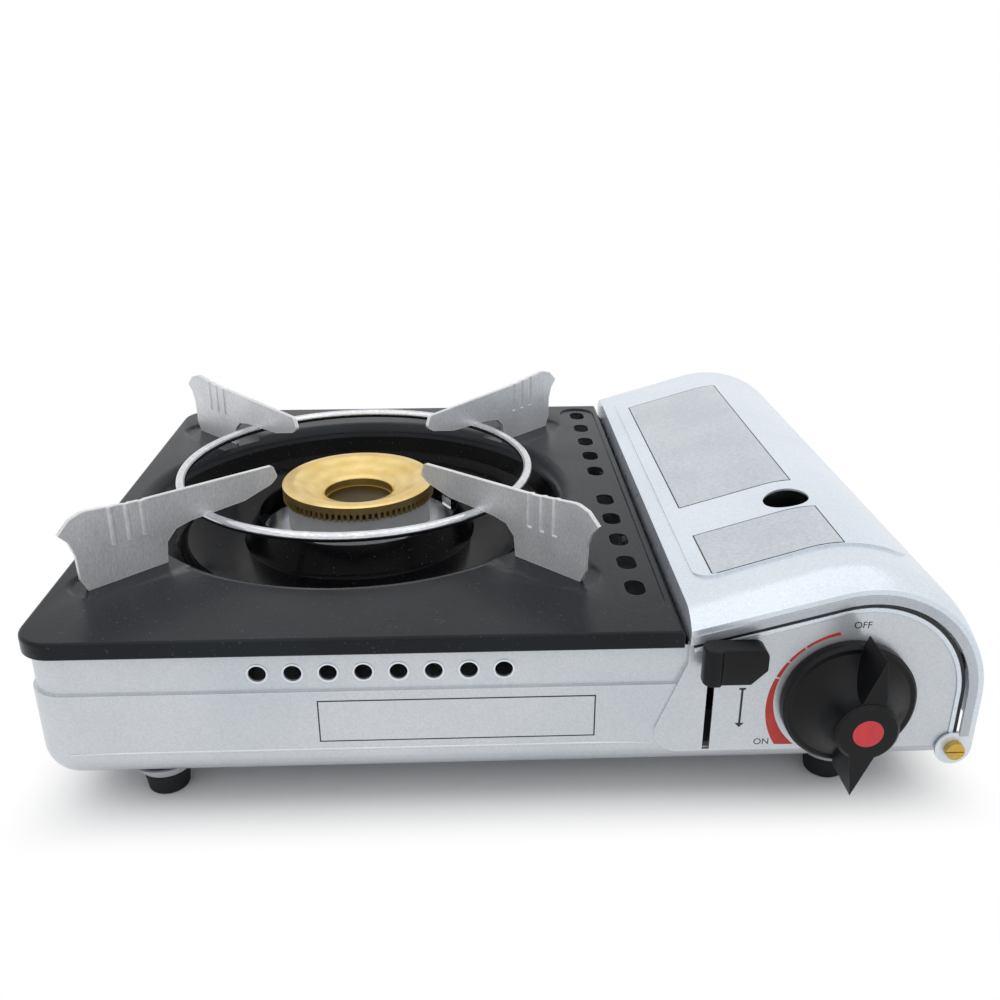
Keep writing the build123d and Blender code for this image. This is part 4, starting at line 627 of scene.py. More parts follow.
FINISHES: tuple[Finish, ...] = (
    # Baked metallic enamel: satin silver, cooler in its patches, brighter where the edges rub.
    MetallicEnamel("silver_enamel", "#CDD1D6", "#C4C9CF", 60, (0.27, 0.37), 2.6, 0.008,
                   metallic=0.55, worn="#EDEFF1", edge_mm=0.7),
    # The lid has the same enamel from a lighter batch. On the shell's rolled rims, the panel's and the
    # vents', its lighter shade is painted highlight.
    MetallicEnamel("lid_enamel", "#DEE5ED", "#D6DEE7", 70, (0.24, 0.33), 2.6, 0.008,
                   metallic=0.5, worn="#F4F6F8", edge_mm=0.7),
    # A darker grey copy of the lid's enamel for its rolled rim: painted shade for the shaded band along the
    # lid's front.
    MetallicEnamel("edge_enamel", "#B9BEC4", "#ADB3B9", 40, (0.26, 0.36), 2.6, 0.008,
                   metallic=0.6, worn="#D2D6DA", edge_mm=0.4),
    # Fired black enamel: nearly black, with a soft shine, thinner and greyer along its edges.
    GlassEnamel("black_enamel", "#0A0F15", "#11171E", 35, (0.2, 0.3), 1.8, 0.008,
                specular=0.2, worn="#565B63", edge_mm=0.7),
    # The same enamel inside the bowl, blacker and with a weaker reflection as painted shade for the deep
    # bowl: glassy, with hazy patches.
    GlassEnamel("burnt_enamel", "#040507", "#0A0A0C", 26, (0.1, 0.24), 1.8, 0.006,
                specular=0.06, worn="#3C3D40", edge_mm=0.6),
    # Zinc-plated steel sheet: pale grey with a slight spangle.
    RolledSteel("zinc_steel", "#B4B7BA", "#A4A8AC", 14, (0.3, 0.45), 0.8, 0.01, metallic=1.0,
                worn="#D6D8DA", along=(0.15, 1.0, 1.0)),
    # Zinc-plated screws: brighter, from cold heading.
    RolledSteel("screw_steel", "#BFC1C4", "#AEB1B5", 3, (0.22, 0.38), 0.4, 0.008, metallic=1.0,
                worn="#E2E3E5", edge_mm=0.25),
    # Yellow chromate over zinc: gold with green and pink in it.
    RolledSteel("yellow_zinc", "#D3A93C", "#B9A05E", 2.5, (0.2, 0.34), 0.4, 0.008, metallic=1.0,
                worn="#F3DC96", edge_mm=0.25),
    # Moulded nitrile feet: matt black with a bloom.
    Moulded("black_rubber", "#101113", "#18191C", 6, (0.62, 0.8), 0.7, 0.02, specular=0.3, worn="#2E2F31"),
    # Moulded seal: softer and a little shinier.
    Moulded("seal_rubber", "#1B1B1D", "#27282A", 4, (0.5, 0.7), 0.5, 0.02, worn="#37383A", edge_mm=0.3),
    # Pickled steel plate of the pan supports: grey, with a fine speckled grain and bright cut edges.
    RolledSteel("pan_steel", "#E0E2E5", "#D2D4D8", 18, (0.42, 0.55), 0.75, 0.02, metallic=0.6,
                worn="#FAFAFB", edge_mm=1.1, wear=2.2, along=(1.0, 1.0, 0.45)),
    # Bright chrome on drawn wire: a mirror with a faint haze.
    RolledSteel("chrome_wire", "#D9DBDE", "#CDCFD3", 12, (0.07, 0.16), 0.6, 0.004, metallic=1.0,
                worn="#E8E9EB", along=(0.3, 0.3, 1.0)),
    # Turned brass of the burner cap: warm gold, darkened in its hole as painted shade.
    FlamedBrass("brass", "#E8CF90", "#DFC079", 9, (0.3, 0.42), 0.5, 0.012, metallic=1.0,
                worn="#F3DFA4", edge_mm=0.6, axis_mm=BURNER_MM, ring_mm=1.0),
    # Machined brass of the valve and the jet.
    TurnedMetal("valve_brass", "#CBA75C", "#BD9850", 5, (0.22, 0.34), 0.4, 0.01, metallic=1.0,
                worn="#EBD79F", edge_mm=0.3, axis_mm=(122.75, 0.0), ring_mm=0.8),
    # Die-cast aluminium: pale, with a soft flow-marked skin.
    TurnedMetal("cast_aluminium", "#F0F1F3", "#E6E8EB", 11, (0.26, 0.36), 0.9, 0.008, metallic=0.6,
                worn="#F6F7F8", axis_mm=BURNER_MM, ring_mm=1.2),
    # Spun stainless steel of the collar: bright, with rings.
    TurnedMetal("collar_steel", "#EAECEE", "#DEE0E4", 10, (0.1, 0.2), 0.5, 0.006, metallic=1.0,
                worn="#F2F3F4", axis_mm=BURNER_MM, ring_mm=0.9),
    # Drawn copper tube: salmon, browner where fingers held it.
    RolledSteel("copper_tube", "#C77F5B", "#A9664A", 8, (0.2, 0.36), 0.5, 0.008, metallic=1.0,
                worn="#E5A784", along=(1.0, 0.2, 1.0)),
    # Zinc die casting of the regulator: grey, a little dull.
    Finish("zinc_casting", "#A4A7AB", "#93969B", 7, (0.36, 0.5), 0.8, 0.03, metallic=1.0,
           worn="#C9CBCD", edge_mm=0.4),
    # Glazed porcelain of the electrode: ivory white and shiny.
    Finish("ceramic_white", "#EDEAE2", "#E2DDD2", 4, (0.12, 0.22), 0.6, 0.008, worn="#F7F5F0", edge_mm=0.3),
    # Heat-proof steel wire of the electrode, blued by the flame.
    RolledSteel("electrode_steel", "#9A9CA3", "#7F7A86", 2, (0.25, 0.4), 0.3, 0.006, metallic=1.0,
                worn="#C4C5C8", edge_mm=0.2),
    # Braided sleeve of the igniter lead: off-white threads.
    Braided("lead_sleeve", "#D8D3C6", "#C7C1B2", 5, (0.6, 0.75), 0.6, 0.06, worn="#E6E2D8", edge_mm=0.2),
    # Moulded phenolic of the knob and the handle: near black, with a dull skin and lighter edges.
    Moulded("black_plastic", "#08090B", "#0E0F12", 20, (0.3, 0.44), 0.55, 0.01, specular=0.2,
            worn="#3A3D43", edge_mm=0.6),
    # Moulded nylon inside the stove: dark grey and satin.
    Moulded("inner_plastic", "#2A2C30", "#34363B", 9, (0.4, 0.55), 0.6, 0.02, worn="#4E5157"),
    # Red insert of the knob: moulded and satin.
    Moulded("red_plastic", "#CE3036", "#C0282E", 6, (0.3, 0.42), 0.5, 0.008, worn="#DE6265", edge_mm=0.3),
    # Screen-printed red ink: flat, opaque, thicker in places.
    Finish("red_ink", "#BC352B", "#AE2C24", 5, (0.42, 0.55), 0.4, 0.006),
    # Screen-printed black ink: flat and satin.
    Finish("black_ink", "#131416", "#1D1E21", 4, (0.42, 0.55), 0.4, 0.006),
    # Printed field on the lid: a grey wash over the silver, with a fine mottle.
    RolledSteel("printed_field", "#C9CED4", "#C1C7CE", 30, (0.34, 0.44), 0.9, 0.004, metallic=0.3,
                along=(0.5, 1.0, 1.0)),
)


class Shop:
    """The paint shop: makes every finish once and hands it out by name."""

    def __init__(self) -> None:
        """Makes all the finishes."""
        self.stock: dict[str, bpy.types.Material] = {f.name: f.build() for f in FINISHES}

    def __getitem__(self, name: str) -> bpy.types.Material:
        """Hands out one finish."""
        return self.stock[name]


# --- Sub-assemblies --------------------------------------------------------------------------------


@dataclass
class SubAssembly:
    """Parts that go together on the bench, and the finish of each.

    The shop is where the finishes come from, and nodes are the stove's parts by name.
    """

    shop: Shop
    nodes: dict[str, bpy.types.Object]
    finishes: ClassVar[dict[str, str]] = {}

    def dress(self) -> None:
        """Gives each part its finish in place of its plain one."""
        for name, finish in self.finishes.items():
            for place in self.nodes[name].material_slots:
                place.material = self.shop[finish]
            log.info("%s: finished in %s", name, finish)

    def fit(self) -> None:
        """Adds the pieces that are modelled here, of which a plain sub-assembly has none."""


@dataclass
class Casing(SubAssembly):
    """The base shell with its control panel, its feet and the walls inside it."""

    finishes = {
        "base_shell": "silver_enamel", "feet": "black_rubber", "foot_screws": "screw_steel",
        "chassis_screws": "screw_steel", "partition_wall": "zinc_steel",
        "regulator_bulkhead": "zinc_steel", "mounting_screws": "screw_steel",
        "cartridge_cradle": "zinc_steel", "heat_transfer_plate": "cast_aluminium",
    }
    panel_y: float = -120.1 * MM
    wall_y: float = -119.3 * MM
    band_y: float = -118.1 * MM
    lid_y: float = -121.5 * MM
    ink: float = 0.05 * MM
    # Each arc's middle x and z, its radius, and its first and last angle from the right.
    inner_arc: Point = (122.75 * MM, 46.6 * MM, 26.3 * MM)
    outer_arc: Point = (125.5 * MM, 43.2 * MM, 31.6 * MM)
    inner_span: Span = (100.0, 232.0)
    outer_span: Span = (104.0, 216.0)
    arc_flats: int = 240
    arc_end: float = 26.6 * MM
    gap_angles: Point = (128.7, 145.5, 161.3)
    gap: float = 0.35 * MM
    off_at: Span = (122.0 * MM, 75.1 * MM)
    on_at: Span = (90.7 * MM, 26.8 * MM)
    letter: float = 3.7 * MM
    arrow_top: Span = (84.8 * MM, 51.0 * MM)
    arrow_length: float = 14.2 * MM
    arrow_bar: float = 0.8 * MM
    arrow_head: Span = (3.4 * MM, 1.8 * MM)
    arrow_tip: float = 0.02
    arrow_line: float = 0.8 * MM
    # The front label's left, right, lower and upper edge.
    label: Edges = (-68.0 * MM, 32.0 * MM, 31.8 * MM, 49.3 * MM)
    label_cells: tuple[int, int] = (10, 4)
    label_line: float = 0.5 * MM
    dome_middle: Span = (128.0 * MM, 46.4 * MM)
    dome_radius: float = 38.4 * MM
    dome_low: float = 31.0 * MM
    dome_flats: int = 40
    slope: float = math.radians(14.6)
    slope_length: float = 54.5 * MM
    # The width of the black strip painted as the gap's shadow.
    gap_line: float = 1.45 * MM
    # Each rolled rim's width and height, and the share of its height that its rounds take.
    panel_rim: Point = (1.7 * MM, 0.55 * MM, 0.9)
    lid_rim: Point = (3.4 * MM, 0.4 * MM, 0.95)
    lid_rim_flats: int = 6
    lid_gap: float = 0.6 * MM
    # The first vent's x, the step to the next, and their z.
    vents: Point = (-88.3 * MM, 12.46 * MM, 60.3 * MM)
    vent_count: int = 8
    vent_radius: float = 3.15 * MM
    vent_rim: Point = (0.8 * MM, 0.35 * MM, 0.8)
    vent_rim_flats: int = 3
    vent_flats: int = 32
    # The crease's left and right end, and its z.
    crease_at: Point = (-158.0 * MM, 53.0 * MM, 28.4 * MM)
    crease_size: Span = (1.0 * MM, 0.35 * MM)
    crease_cells: tuple[int, int] = (12, 1)
    crease_end: float = 0.1
    crease_top: float = 0.3
    crease_sharp: float = math.radians(70)

    def fit(self) -> None:
        """Adds the marks, the bare label, the rolled rims and the crease."""
        self.heat_arc()
        self.word("off_mark", "OFF", self.off_at)
        self.word("on_mark", "ON", self.on_at)
        self.arrow()
        self.front_label()
        self.rolled_rims()
        self.vent_rims()
        self.crease()

    def mark(self, name: str, finish: str) -> None:
        """Finishes a piece that lies on the shell."""
        finished(name, Body.HOUSING, "silver_enamel", self.shop[finish])

    def raise_ink(self) -> None:
        """Gives the flat shape that is open in edit mode the thickness of the ink."""
        select_all()
        extrude(0, -self.ink, 0)
        face_outwards()

    def arc_points(self, arc: Point, span: Span) -> None:
        """Adds a ring of points to the open mesh and keeps those within a span of angles.

        Args:
            arc: The x and z of its middle, and its radius.
            span: The first and last angle in degrees, from the right and turning up.
        """
        x, z, radius = arc
        bpy.ops.mesh.primitive_circle_add(
            vertices=self.arc_flats, radius=radius, fill_type="NOTHING",
            location=(x, self.panel_y, z), rotation=UPRIGHT,
        )

        def outside(middle: Vector, _: Vector) -> bool:
            """Says whether a point of this ring is out of the span."""
            across, up = middle.x - x, middle.z - z
            on_ring = abs(math.hypot(across, up) - radius) < NEAR
            return on_ring and not span[0] <= math.degrees(math.atan2(up, across)) % 360 <= span[1]

        pick(Picked.POINTS, outside)
        bpy.ops.mesh.delete(type="VERT")

    def heat_arc(self) -> None:
        """Prints the red arc that widens from OFF to ON, cut by three fine gaps."""
        select_nothing()
        bpy.ops.object.add(type="MESH", enter_editmode=True)
        self.arc_points(self.inner_arc, self.inner_span)
        self.arc_points(self.outer_arc, self.outer_span)
        select_all()
        bpy.ops.mesh.bridge_edge_loops()
        x, z, _ = self.inner_arc
        middle = Vector((x, self.panel_y, z))
        for angle in self.gap_angles:
            turn = math.radians(angle)
            outwards = Vector((math.cos(turn), 0, math.sin(turn)))
            across = Vector((-math.sin(turn), 0, math.cos(turn)))
            for side in (-self.gap, self.gap):
                select_all()
                bpy.ops.mesh.bisect(plane_co=middle + across * side, plane_no=across)
            pick(
                Picked.FACES,
                lambda centre, _: abs((centre - middle).dot(across)) < self.gap
                and (centre - middle).dot(outwards) > 0,
            )
            bpy.ops.mesh.delete(type="FACE")
        select_all()
        bpy.ops.mesh.bisect(
            plane_co=(x, self.panel_y, self.arc_end), plane_no=(0, 0, 1), clear_inner=True
        )
        self.raise_ink()
        self.mark("heat_arc", "red_ink")

    def word(self, name: str, letters: str, at: Span) -> None:
        """Prints one of the two words that say which way the knob turns.

        Args:
            name: The piece's name.
            letters: The word.
            at: The x and z of its lower left corner.
        """
        select_nothing()
        bpy.ops.object.text_add(location=(at[0], self.panel_y, at[1]), rotation=UPRIGHT)
        text = bpy.context.active_object.data
        text.body = letters
        text.size = self.letter
        text.extrude = self.ink
        bpy.ops.object.convert(target="MESH")
        self.mark(name, "black_ink")

    def arrow(self) -> None:
        """Prints the thin arrow beside the lever's slot, with a short bar at its top."""
        select_nothing()
        x, z = self.arrow_top
        bpy.ops.mesh.primitive_plane_add(
            size=self.arrow_line, location=(x, self.panel_y, z), rotation=UPRIGHT
        )
        open_mesh()
        half = self.arrow_line / 2
        for side in (-1, 1):
            pick(Picked.EDGES, lambda middle, _: (middle.x - x) * side > half - NEAR)
            extrude(side * self.arrow_bar, 0, 0)
        low = z - half
        pick(Picked.EDGES, lambda middle, _: middle.z < low + NEAR and abs(middle.x - x) < NEAR)
        extrude(0, 0, -self.arrow_length)
        wide, tall = self.arrow_head
        centre = (x, self.panel_y, low - self.arrow_length)
        extrude(0, 0, -2 * NEAR)
        resize(wide / self.arrow_line, 1, 1, centre)
        extrude(0, 0, -tall)
        resize(self.arrow_tip, 1, 1, centre)
        self.raise_ink()
        self.mark("lever_arrow", "black_ink")

    def front_label(self) -> None:
        """Lays a bare label with a fine black frame on the front of the shell."""
        left, right, low, high = self.label
        middle = ((left + right) / 2, self.wall_y - self.ink, (low + high) / 2)
        add_sheet(self.label_cells, middle, (right - left, high - low), upright=True)
        frame_in_ink(self.label_line)
        silver, black = self.shop["silver_enamel"], self.shop["black_ink"]
        finished("front_label", Body.HOUSING, "silver_enamel", silver, black)

    def rim_strip(self, face_y: float, inset: float, width: float, height: float) -> None:
        """Models a strip that follows the lid's rim: up, round and down its slope.

        Args:
            face_y: The y of the upright face that it lies on.
            inset: How far it lies inside the panel's outline.
            width: Its width.
            height: How far it stands proud of the face.
        """
        x, z = self.dome_middle
        outer = self.dome_radius - inset
        select_nothing()
        bpy.ops.mesh.primitive_plane_add(
            size=width, location=(x + outer - width / 2, face_y, self.dome_low), rotation=UPRIGHT
        )
        open_mesh()
        top = self.dome_low + width / 2
        pick(Picked.EDGES, lambda middle, _: middle.z > top - NEAR)
        extrude(0, 0, z - top)
        bpy.ops.mesh.spin(
            steps=self.dome_flats, angle=math.radians(90) + self.slope, center=(x, face_y, z),
            axis=(0, 1, 0),
        )
        extrude(
            -math.cos(self.slope) * self.slope_length, 0, -math.sin(self.slope) * self.slope_length
        )
        select_all()
        bpy.ops.mesh.remove_doubles(threshold=NEAR)
        extrude(0, -height, 0)
        face_outwards()
        close_mesh()

    def rolled_rims(self) -> None:
        """Adds a black strip as painted shadow for the gap between panel and lid, and the rolled rim on
        each side of it: the panel's in the lid's lighter enamel as painted highlight, the lid's in a darker
        grey as painted shade.
        """
        # A black ink strip on the panel where the gap's shadow falls: painted shadow.
        self.rim_strip(self.panel_y, 0.0, self.gap_line, self.ink)
        self.mark("lid_gap_line", "black_ink")
        width, height, share = self.panel_rim
        self.rim_strip(self.panel_y, self.gap_line, width, height)
        soften(height * share)
        # The roll is a real rounded rim; its lighter lid enamel is painted highlight.
        self.mark("panel_roll", "lid_enamel")
        width, height, share = self.lid_rim
        self.rim_strip(self.lid_y, -width - self.lid_gap, width, height)
        soften(height * share, self.lid_rim_flats)
        # The lid's roll is finished in a darker grey: painted shade.
        finished("lid_roll", Body.LID, "lid_enamel", self.shop["edge_enamel"])

    def vent_rims(self) -> None:
        """Models the rolled rim of one vent in the front, and copies it to the others. The rims are real;
        their lighter lid enamel is painted highlight.
        """
        first, pitch, z = self.vents
        width, proud, share = self.vent_rim
        centre = (first, self.band_y, z)
        select_nothing()
        bpy.ops.mesh.primitive_circle_add(
            vertices=self.vent_flats, radius=self.vent_radius, fill_type="NOTHING",
            location=centre, rotation=UPRIGHT,
        )
        open_mesh()
        select_all()
        wider = 1 + width / self.vent_radius
        for grow, out in ((1.0, -proud), (wider, 0.0), (1.0, proud), (1 / wider, 0.0)):
            extrude(0, out, 0)
            resize(grow, 1, grow, centre)
        select_all()
        bpy.ops.mesh.remove_doubles(threshold=WELD)
        face_outwards()
        close_mesh()
        soften(proud * share, self.vent_rim_flats)
        pattern = bpy.context.active_object
        for number in range(self.vent_count):
            select_nothing()
            pattern.select_set(True)
            bpy.context.view_layer.objects.active = pattern
            bpy.ops.object.duplicate()
            bpy.context.active_object.location.x = number * pitch
            # Lighter lid enamel on the rims: painted highlight.
            self.mark(f"vent_rim_{number + 1}", "lid_enamel")
        bpy.data.objects.remove(pattern)

    def crease(self) -> None:
        """Models the fine pressed crease along the front's foot, which ends in a point at each end."""
        left, right, z = self.crease_at
        width, proud = self.crease_size
        middle = ((left + right) / 2, self.wall_y, z)
        add_sheet(self.crease_cells, middle, (right - left, width), upright=True)
        open_mesh()
        for end in (left, right):
            pick(Picked.POINTS, lambda place, _: abs(place.x - end) < NEAR)
            resize(1, 1, self.crease_end, middle)
        select_all()
        extrude(0, -proud, 0)
        resize(1, 1, self.crease_top, middle)
        face_outwards()
        close_mesh()
        bpy.ops.object.shade_smooth_by_angle(angle=self.crease_sharp)
        self.mark("foot_crease", "silver_enamel")


@dataclass
class TopPlate(SubAssembly):
    """The enamelled top plate with its bowl, whose inside is darkened as painted shade."""

    finishes = {"top_plate": "black_enamel"}
    burnt_radius: float = 93.3 * MM
    # The bowl's rings: where each starts and ends, and how far it rises. The first is the lip.
    rises: tuple[Point, ...] = (
        (0.0, 51.5 * MM, 13.4 * MM), (51.5 * MM, 60.0 * MM, 5.0 * MM),
        (60.0 * MM, 76.0 * MM, 8.4 * MM), (76.0 * MM, 81.0 * MM, 6.6 * MM),
    )
    lip_share: float = 0.92
    sharp_above: float = 35.0

    def fit(self) -> None:
        """Remakes the plate with a higher bowl floor, a lip drawn in and a bowl darkened as painted shade.
        """
        plate = copy_of(self.nodes["top_plate"])
        for inner, outer, rise in self.rises:
            pick(Picked.POINTS, lambda place, _: inner <= from_burner(place) < outer)
            bpy.ops.transform.translate(value=(0, 0, rise))
            if not inner:
                x, y = BURNER_MM
                resize(self.lip_share, self.lip_share, 1, (x * MM, y * MM, 0))
        work = bmesh.from_edit_mesh(plate.data)
        # Faces within the bowl take the blacker enamel: painted shade.
        for face in work.faces:
            burnt = all(from_burner(corner.co) < self.burnt_radius for corner in face.verts)
            face.material_index = int(burnt)
        bmesh.update_edit_mesh(plate.data)
        smooth_copy(self.sharp_above)
        finished(
            "enamelled_plate", Body.HOUSING, "black_enamel",
            self.shop["black_enamel"], self.shop["burnt_enamel"],
        )
        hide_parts("top_plate")


@dataclass
class CartridgeLid(SubAssembly):
    """The lid over the cartridge bay, with its hinge and its bare label fields."""

    finishes = {"lid": "lid_enamel", "hinge_screws": "yellow_zinc", "hinge_nuts": "yellow_zinc"}
    # Each field's left, right, front and back edge.
    fields: ClassVar[dict[str, Edges]] = {
        "lid_label_rear": (76.0 * MM, 122.5 * MM, -36.0 * MM, 104.0 * MM),
        "lid_label_front": (76.0 * MM, 124.0 * MM, -97.5 * MM, -63.5 * MM),
    }
    cells: tuple[int, int] = (24, 24)
    line: float = 0.5 * MM
    film: float = 0.06 * MM
    above: float = 110.0 * MM

    def fit(self) -> None:
        """Lays two bare labels with fine frames on the lid, so that they follow its curve."""
        for name, (left, right, front, back) in self.fields.items():
            middle = ((left + right) / 2, (front + back) / 2, self.above)
            add_sheet(self.cells, middle, (right - left, back - front), upright=False)
            frame_in_ink(self.line)
            apply_modifier(
                "lay_on_lid", "SHRINKWRAP", target=self.nodes["lid"], wrap_method="PROJECT",
                use_project_z=True, use_negative_direction=True, use_positive_direction=False,
                offset=self.film,
            )
            bpy.ops.object.shade_smooth()
            printed, black = self.shop["printed_field"], self.shop["black_ink"]
            finished(name, Body.LID, "lid_enamel", printed, black)


@dataclass
class PanSupport(SubAssembly):
    """The lift-off pan support: four steel arms on a wire ring."""

    finishes = {
        "support_ring": "chrome_wire", "pan_support_front_left": "pan_steel",
        "pan_support_front_right": "pan_steel", "pan_support_rear_left": "pan_steel",
        "pan_support_rear_right": "pan_steel",
    }


@dataclass
class Burner(SubAssembly):
    """The burner with its cap, head and collar, and what brings the gas to it."""

    finishes = {
        "burner_cap": "brass", "burner_head": "cast_aluminium", "burner_collar": "collar_steel",
        "burner_bracket": "zinc_steel", "burner_screws": "screw_steel",
        "mixing_tube": "collar_steel", "jet_bracket": "zinc_steel", "jet_nozzle": "valve_brass",
        "gas_tube": "copper_tube",
    }
    rim_above: float = 58.0 * MM
    rim_drop: float = 5.5 * MM
    sharp_above: float = 35.0

    def fit(self) -> None:
        """Remakes the collar with a lower rim, sunk in the bowl's opening."""
        collar = copy_of(self.nodes["burner_collar"])
        pick(Picked.POINTS, lambda place, _: place.z > self.rim_above)
        bpy.ops.transform.translate(value=(0, 0, -self.rim_drop))
        smooth_copy(self.sharp_above)
        finished("sunk_collar", Body.HOUSING, "collar_steel", self.shop["collar_steel"])
        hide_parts("burner_collar")


@dataclass
class Ignition(SubAssembly):
    """The piezo igniter with its cam, its lead and its electrode."""

    finishes = {
        "electrode_ceramic": "ceramic_white", "electrode_wire": "electrode_steel",
        "electrode_bracket": "zinc_steel", "igniter_lead": "lead_sleeve",
        "igniter_body": "inner_plastic", "igniter_plunger": "inner_plastic",
        "igniter_bracket": "zinc_steel", "igniter_cam": "inner_plastic",
    }


@dataclass
class Controls(SubAssembly):
    """The gas valve with its knob, and the regulator."""

    finishes = {
        "valve_spindle": "valve_brass", "control_knob": "black_plastic",
        "knob_insert": "red_plastic", "regulator_body": "zinc_casting",
        "regulator_cover": "zinc_casting", "regulator_screws": "screw_steel",
        "inlet_seal": "seal_rubber",
    }
    hub_root: Point = (122.75 * MM, -126.0 * MM, 46.6 * MM)
    hub_share: float = 0.84
    sharp_above: float = 30.0

    def fit(self) -> None:
        """Remakes the knob and its insert with a lower hub."""
        for part, name in (("control_knob", "fluted_knob"), ("knob_insert", "red_button")):
            finish = self.finishes[part]
            piece = copy_of(self.nodes[part])
            pick(Picked.POINTS, lambda place, _: place.y < self.hub_root[1])
            resize(1, self.hub_share, 1, self.hub_root)
            smooth_copy(self.sharp_above)
            finished(name, Body.KNOB, finish, self.shop[finish])
            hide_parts(part)


@dataclass
class CartridgeLock(SubAssembly):
    """The lever and the carriage that push the cartridge onto the regulator."""

    finishes = {
        "lever_arm": "zinc_steel", "lever_handle": "black_plastic", "lever_pivot": "screw_steel",
        "cartridge_carriage": "zinc_steel", "carriage_screws": "screw_steel",
    }
    # The boss's left end, the step to the thumb piece, and the thumb piece's right end.
    grip_x: Point = (67.5 * MM, 73.8 * MM, 89.8 * MM)
    grip_y: Span = (-131.0 * MM, -123.0 * MM)
    grip_z: Span = (59.4 * MM, 73.5 * MM)
    boss_proud: float = 1.2 * MM
    step_length: float = 0.6 * MM
    low_chamfer: float = 5.6 * MM
    top_round: float = 3.4 * MM
    boss_round: float = 3.6 * MM
    round_flats: int = 5
    grip_round: float = 1.1 * MM
    # The nub's x, width and height.
    nub: Point = (80.6 * MM, 2.8 * MM, 1.4 * MM)
    nub_flats: int = 16
    # How far it sinks and how round its edge is, as shares of its height.
    nub_drop: float = 0.3
    nub_round: float = 0.2
    nub_round_flats: int = 2

    def fit(self) -> None:
        """Models the lever's handle in place of the plain one."""
        self.grip()
        self.nub_below()
        finished("thumb_handle", Body.LEVER, "black_plastic", self.shop["black_plastic"])
        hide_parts("lever_handle")

    def grip(self) -> None:
        """Models a rounded boss with a slimmer thumb piece at its right."""
        boss, step, right = self.grip_x
        front, back = self.grip_y
        low, high = self.grip_z
        middle_z = (low + high) / 2
        select_nothing()
        bpy.ops.mesh.primitive_cube_add(
            size=1.0, location=((step + right) / 2, (front + back) / 2, middle_z)
        )
        bpy.ops.transform.resize(value=(right - step, back - front, high - low))
        open_mesh()
        for height, cut, flats in (
            (low, self.low_chamfer, 1), (high, self.top_round, self.round_flats),
        ):
            pick(
                Picked.EDGES,
                lambda place, _: abs(place.x - right) < NEAR and abs(place.z - height) < NEAR,
            )
            bpy.ops.mesh.bevel(offset=cut, segments=flats, affect="EDGES")
        pick(Picked.FACES, lambda _, normal: normal.x < -FACING)
        extrude(-self.step_length, 0, 0)
        resize(1, 1 + self.boss_proud / (back - front), 1, (step, back, middle_z))
        extrude(boss - step + self.step_length, 0, 0)
        pick(
            Picked.EDGES,
            lambda place, _: abs(place.x - boss) < NEAR and abs(place.z - middle_z) < NEAR,
        )
        bpy.ops.mesh.bevel(offset=self.boss_round, segments=self.round_flats, affect="EDGES")
        close_mesh()
        soften(self.grip_round)

    def nub_below(self) -> None:
        """Adds the small nub under the thumb piece, which points at the arrow."""
        nub_x, width, height = self.nub
        bpy.ops.object.mode_set(mode="EDIT")
        bpy.ops.mesh.select_all(action="DESELECT")
        bpy.ops.mesh.primitive_cylinder_add(
            vertices=self.nub_flats, radius=width / 2, depth=height,
            location=(nub_x, sum(self.grip_y) / 2, self.grip_z[0] - height * self.nub_drop),
        )
        bpy.ops.mesh.bevel(offset=height * self.nub_round, segments=self.nub_round_flats, affect="EDGES")
        close_mesh()


# --- Studio ------------------------------------------------------------------------------------------


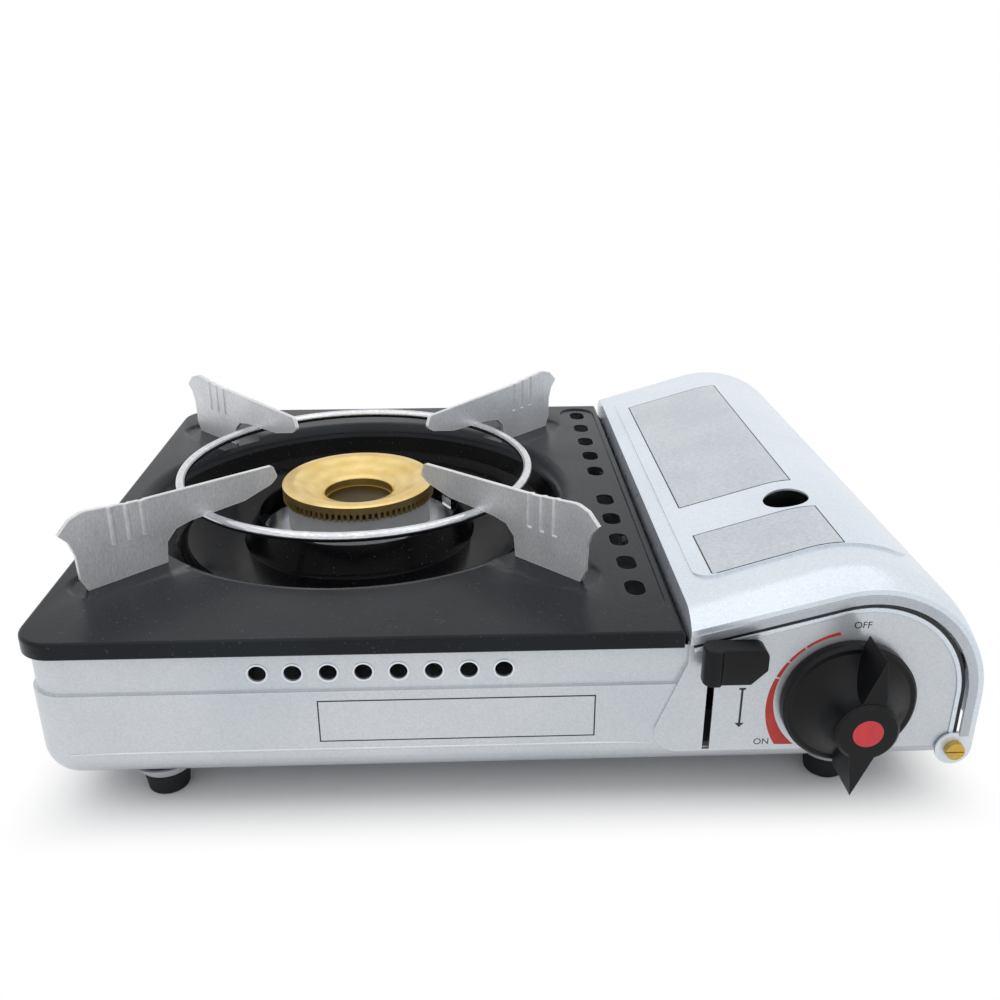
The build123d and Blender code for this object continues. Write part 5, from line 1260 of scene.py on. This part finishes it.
@dataclass
class Studio:
    """A pale floor, soft light from above and a camera in front of the stove."""

    eye: Point = (-13.35 * MM, -428.4 * MM, 255.8 * MM)
    yaw: float = 0.0353
    pitch: float = 0.3977
    roll: float = -0.0021
    focal_mm: float = 36.67
    sensor_mm: float = 36.0
    nearest: float = 0.01
    floor_radius: float = 8.0
    floor_corners: int = 64
    paper: tuple[str, str] = ("#E6E7E8", "#E1E2E3")
    fibre_mm: float = 4.0
    fade: Span = (0.118, 0.152)
    fade_middle: Point = (0.0, -0.011, 0.0)
    fade_share: Point = (0.8, 1.0, 0.0)
    fade_corner: float = 0.03
    sky: float = 0.86
    softbox_size: float = 2.2
    softbox_at: Point = (0.0, -0.35, 1.45)
    softbox_aim: Point = (0.0, 0.0, 0.05)
    softbox_watts: float = 6.5

    def build(self) -> None:
        """Sets up the camera, the light and the floor."""
        self.camera()
        self.light()
        self.floor()
        bpy.context.scene.view_settings.view_transform = "Standard"

    def camera(self) -> None:
        """Puts the camera at its place and turns it to the stove."""
        sy, cy = math.sin(self.yaw), math.cos(self.yaw)
        sp, cp = math.sin(self.pitch), math.cos(self.pitch)
        forward = Vector((sy * cp, cy * cp, -sp))
        level = Vector((cy, -sy, 0))
        upright = level.cross(forward)
        right = level * math.cos(self.roll) + upright * math.sin(self.roll)
        up = upright * math.cos(self.roll) - level * math.sin(self.roll)
        turn = Matrix((right, up, -forward)).transposed().to_4x4()
        bpy.ops.object.camera_add()
        camera = bpy.context.active_object
        camera.name = "camera"
        camera.data.sensor_width = self.sensor_mm
        camera.data.lens = self.focal_mm
        camera.data.clip_start = self.nearest
        camera.matrix_world = Matrix.Translation(self.eye) @ turn
        bpy.context.scene.camera = camera

    def light(self) -> None:
        """Hangs one softbox over the stove and lights the room round it."""
        bpy.ops.object.light_add(type="AREA", location=self.softbox_at)
        softbox = bpy.context.active_object
        softbox.name = "softbox"
        softbox.data.shape = "SQUARE"
        softbox.data.size = self.softbox_size
        softbox.data.energy = self.softbox_watts
        aim = Vector(self.softbox_aim) - softbox.location
        softbox.rotation_euler = aim.to_track_quat("-Z", "Y").to_euler()
        world = bpy.data.worlds.new("studio")
        world.use_nodes = True
        bpy.context.scene.world = world
        tree = world.node_tree
        tree.nodes.clear()
        room = add(tree, "Background", {"Color": (1, 1, 1, 1), "Strength": self.sky})
        white = add(tree, "Background", {"Color": (1, 1, 1, 1), "Strength": 1.0})
        seen = add(tree, "MixShader", {0: seen_directly(tree), 1: room, 2: white})
        add(tree, "OutputWorld", {"Surface": seen})

    def floor(self) -> None:
        """Lays the pale floor, which turns plain white away from the stove."""
        bpy.ops.mesh.primitive_circle_add(
            vertices=self.floor_corners, radius=self.floor_radius, fill_type="TRIFAN",
            location=(0, 0, 0),
        )
        floor = bpy.context.active_object
        floor.name = "floor"
        material = bpy.data.materials.new("matt_white_paper")
        material.use_nodes = True
        tree = material.node_tree
        tree.nodes.clear()
        place = add(tree, "TexCoord").outputs["Object"]
        fibres = add(tree, "TexNoise", {"Vector": place, "Scale": per_size(self.fibre_mm), "Detail": 3.0})
        one, other = (linear(colour) for colour in self.paper)
        pale = add(tree, "Mix", {0: fibres, 6: one, 7: other}, data_type="RGBA")
        paper = add(tree, "BsdfDiffuse", {"Color": pale.outputs[2]})
        white = add(tree, "Emission", {"Color": (1, 1, 1, 1), "Strength": 1.0})
        move = {"Vector": place, "Location": self.fade_middle, "Scale": self.fade_share}
        sides = add(tree, "VectorMath", {0: add(tree, "Mapping", move)}, operation="ABSOLUTE")
        x, y, _ = add(tree, "SeparateXYZ", {0: sides}).outputs
        distance = add(tree, "Math", {0: x, 1: y, 2: self.fade_corner}, operation="SMOOTH_MAX")
        near, far = self.fade
        away = add(
            tree, "MapRange", {0: distance, 1: near, 2: far}, interpolation_type="SMOOTHSTEP"
        )
        share = add(tree, "Math", {0: away, 1: seen_directly(tree)}, operation="MULTIPLY")
        both = add(tree, "MixShader", {0: share, 1: paper, 2: white})
        add(tree, "OutputMaterial", {"Surface": both})
        floor.data.materials.append(material)


def seen_directly(tree: Tree) -> Socket:
    """Tells rays that are seen, straight or in a mirror or glass, from rays that only light.

    Args:
        tree: The tree that it goes into.

    Returns:
        1 for a ray that is seen, and 0 for another.
    """
    rays = add(tree, "LightPath").outputs
    straight, mirrored, through = (rays[f"Is {kind} Ray"] for kind in ("Camera", "Glossy", "Transmission"))
    outside = add(tree, "Math", {0: straight, 1: mirrored}, operation="MAXIMUM")
    return add(tree, "Math", {0: outside, 1: through}, operation="MAXIMUM").outputs[0]


def main(frame: dict[str, Any]) -> None:
    """Dresses the stove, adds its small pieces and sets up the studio.
    """
    logging.basicConfig(level=logging.INFO, format="%(message)s")
    shop = Shop()
    for kind in (
        Casing, TopPlate, CartridgeLid, PanSupport, Burner, Ignition, Controls, CartridgeLock,
    ):
        group = kind(shop, frame["nodes"])
        group.dress()
        group.fit()
    Studio().build()


if __name__ == "__main__":
    main(frame)
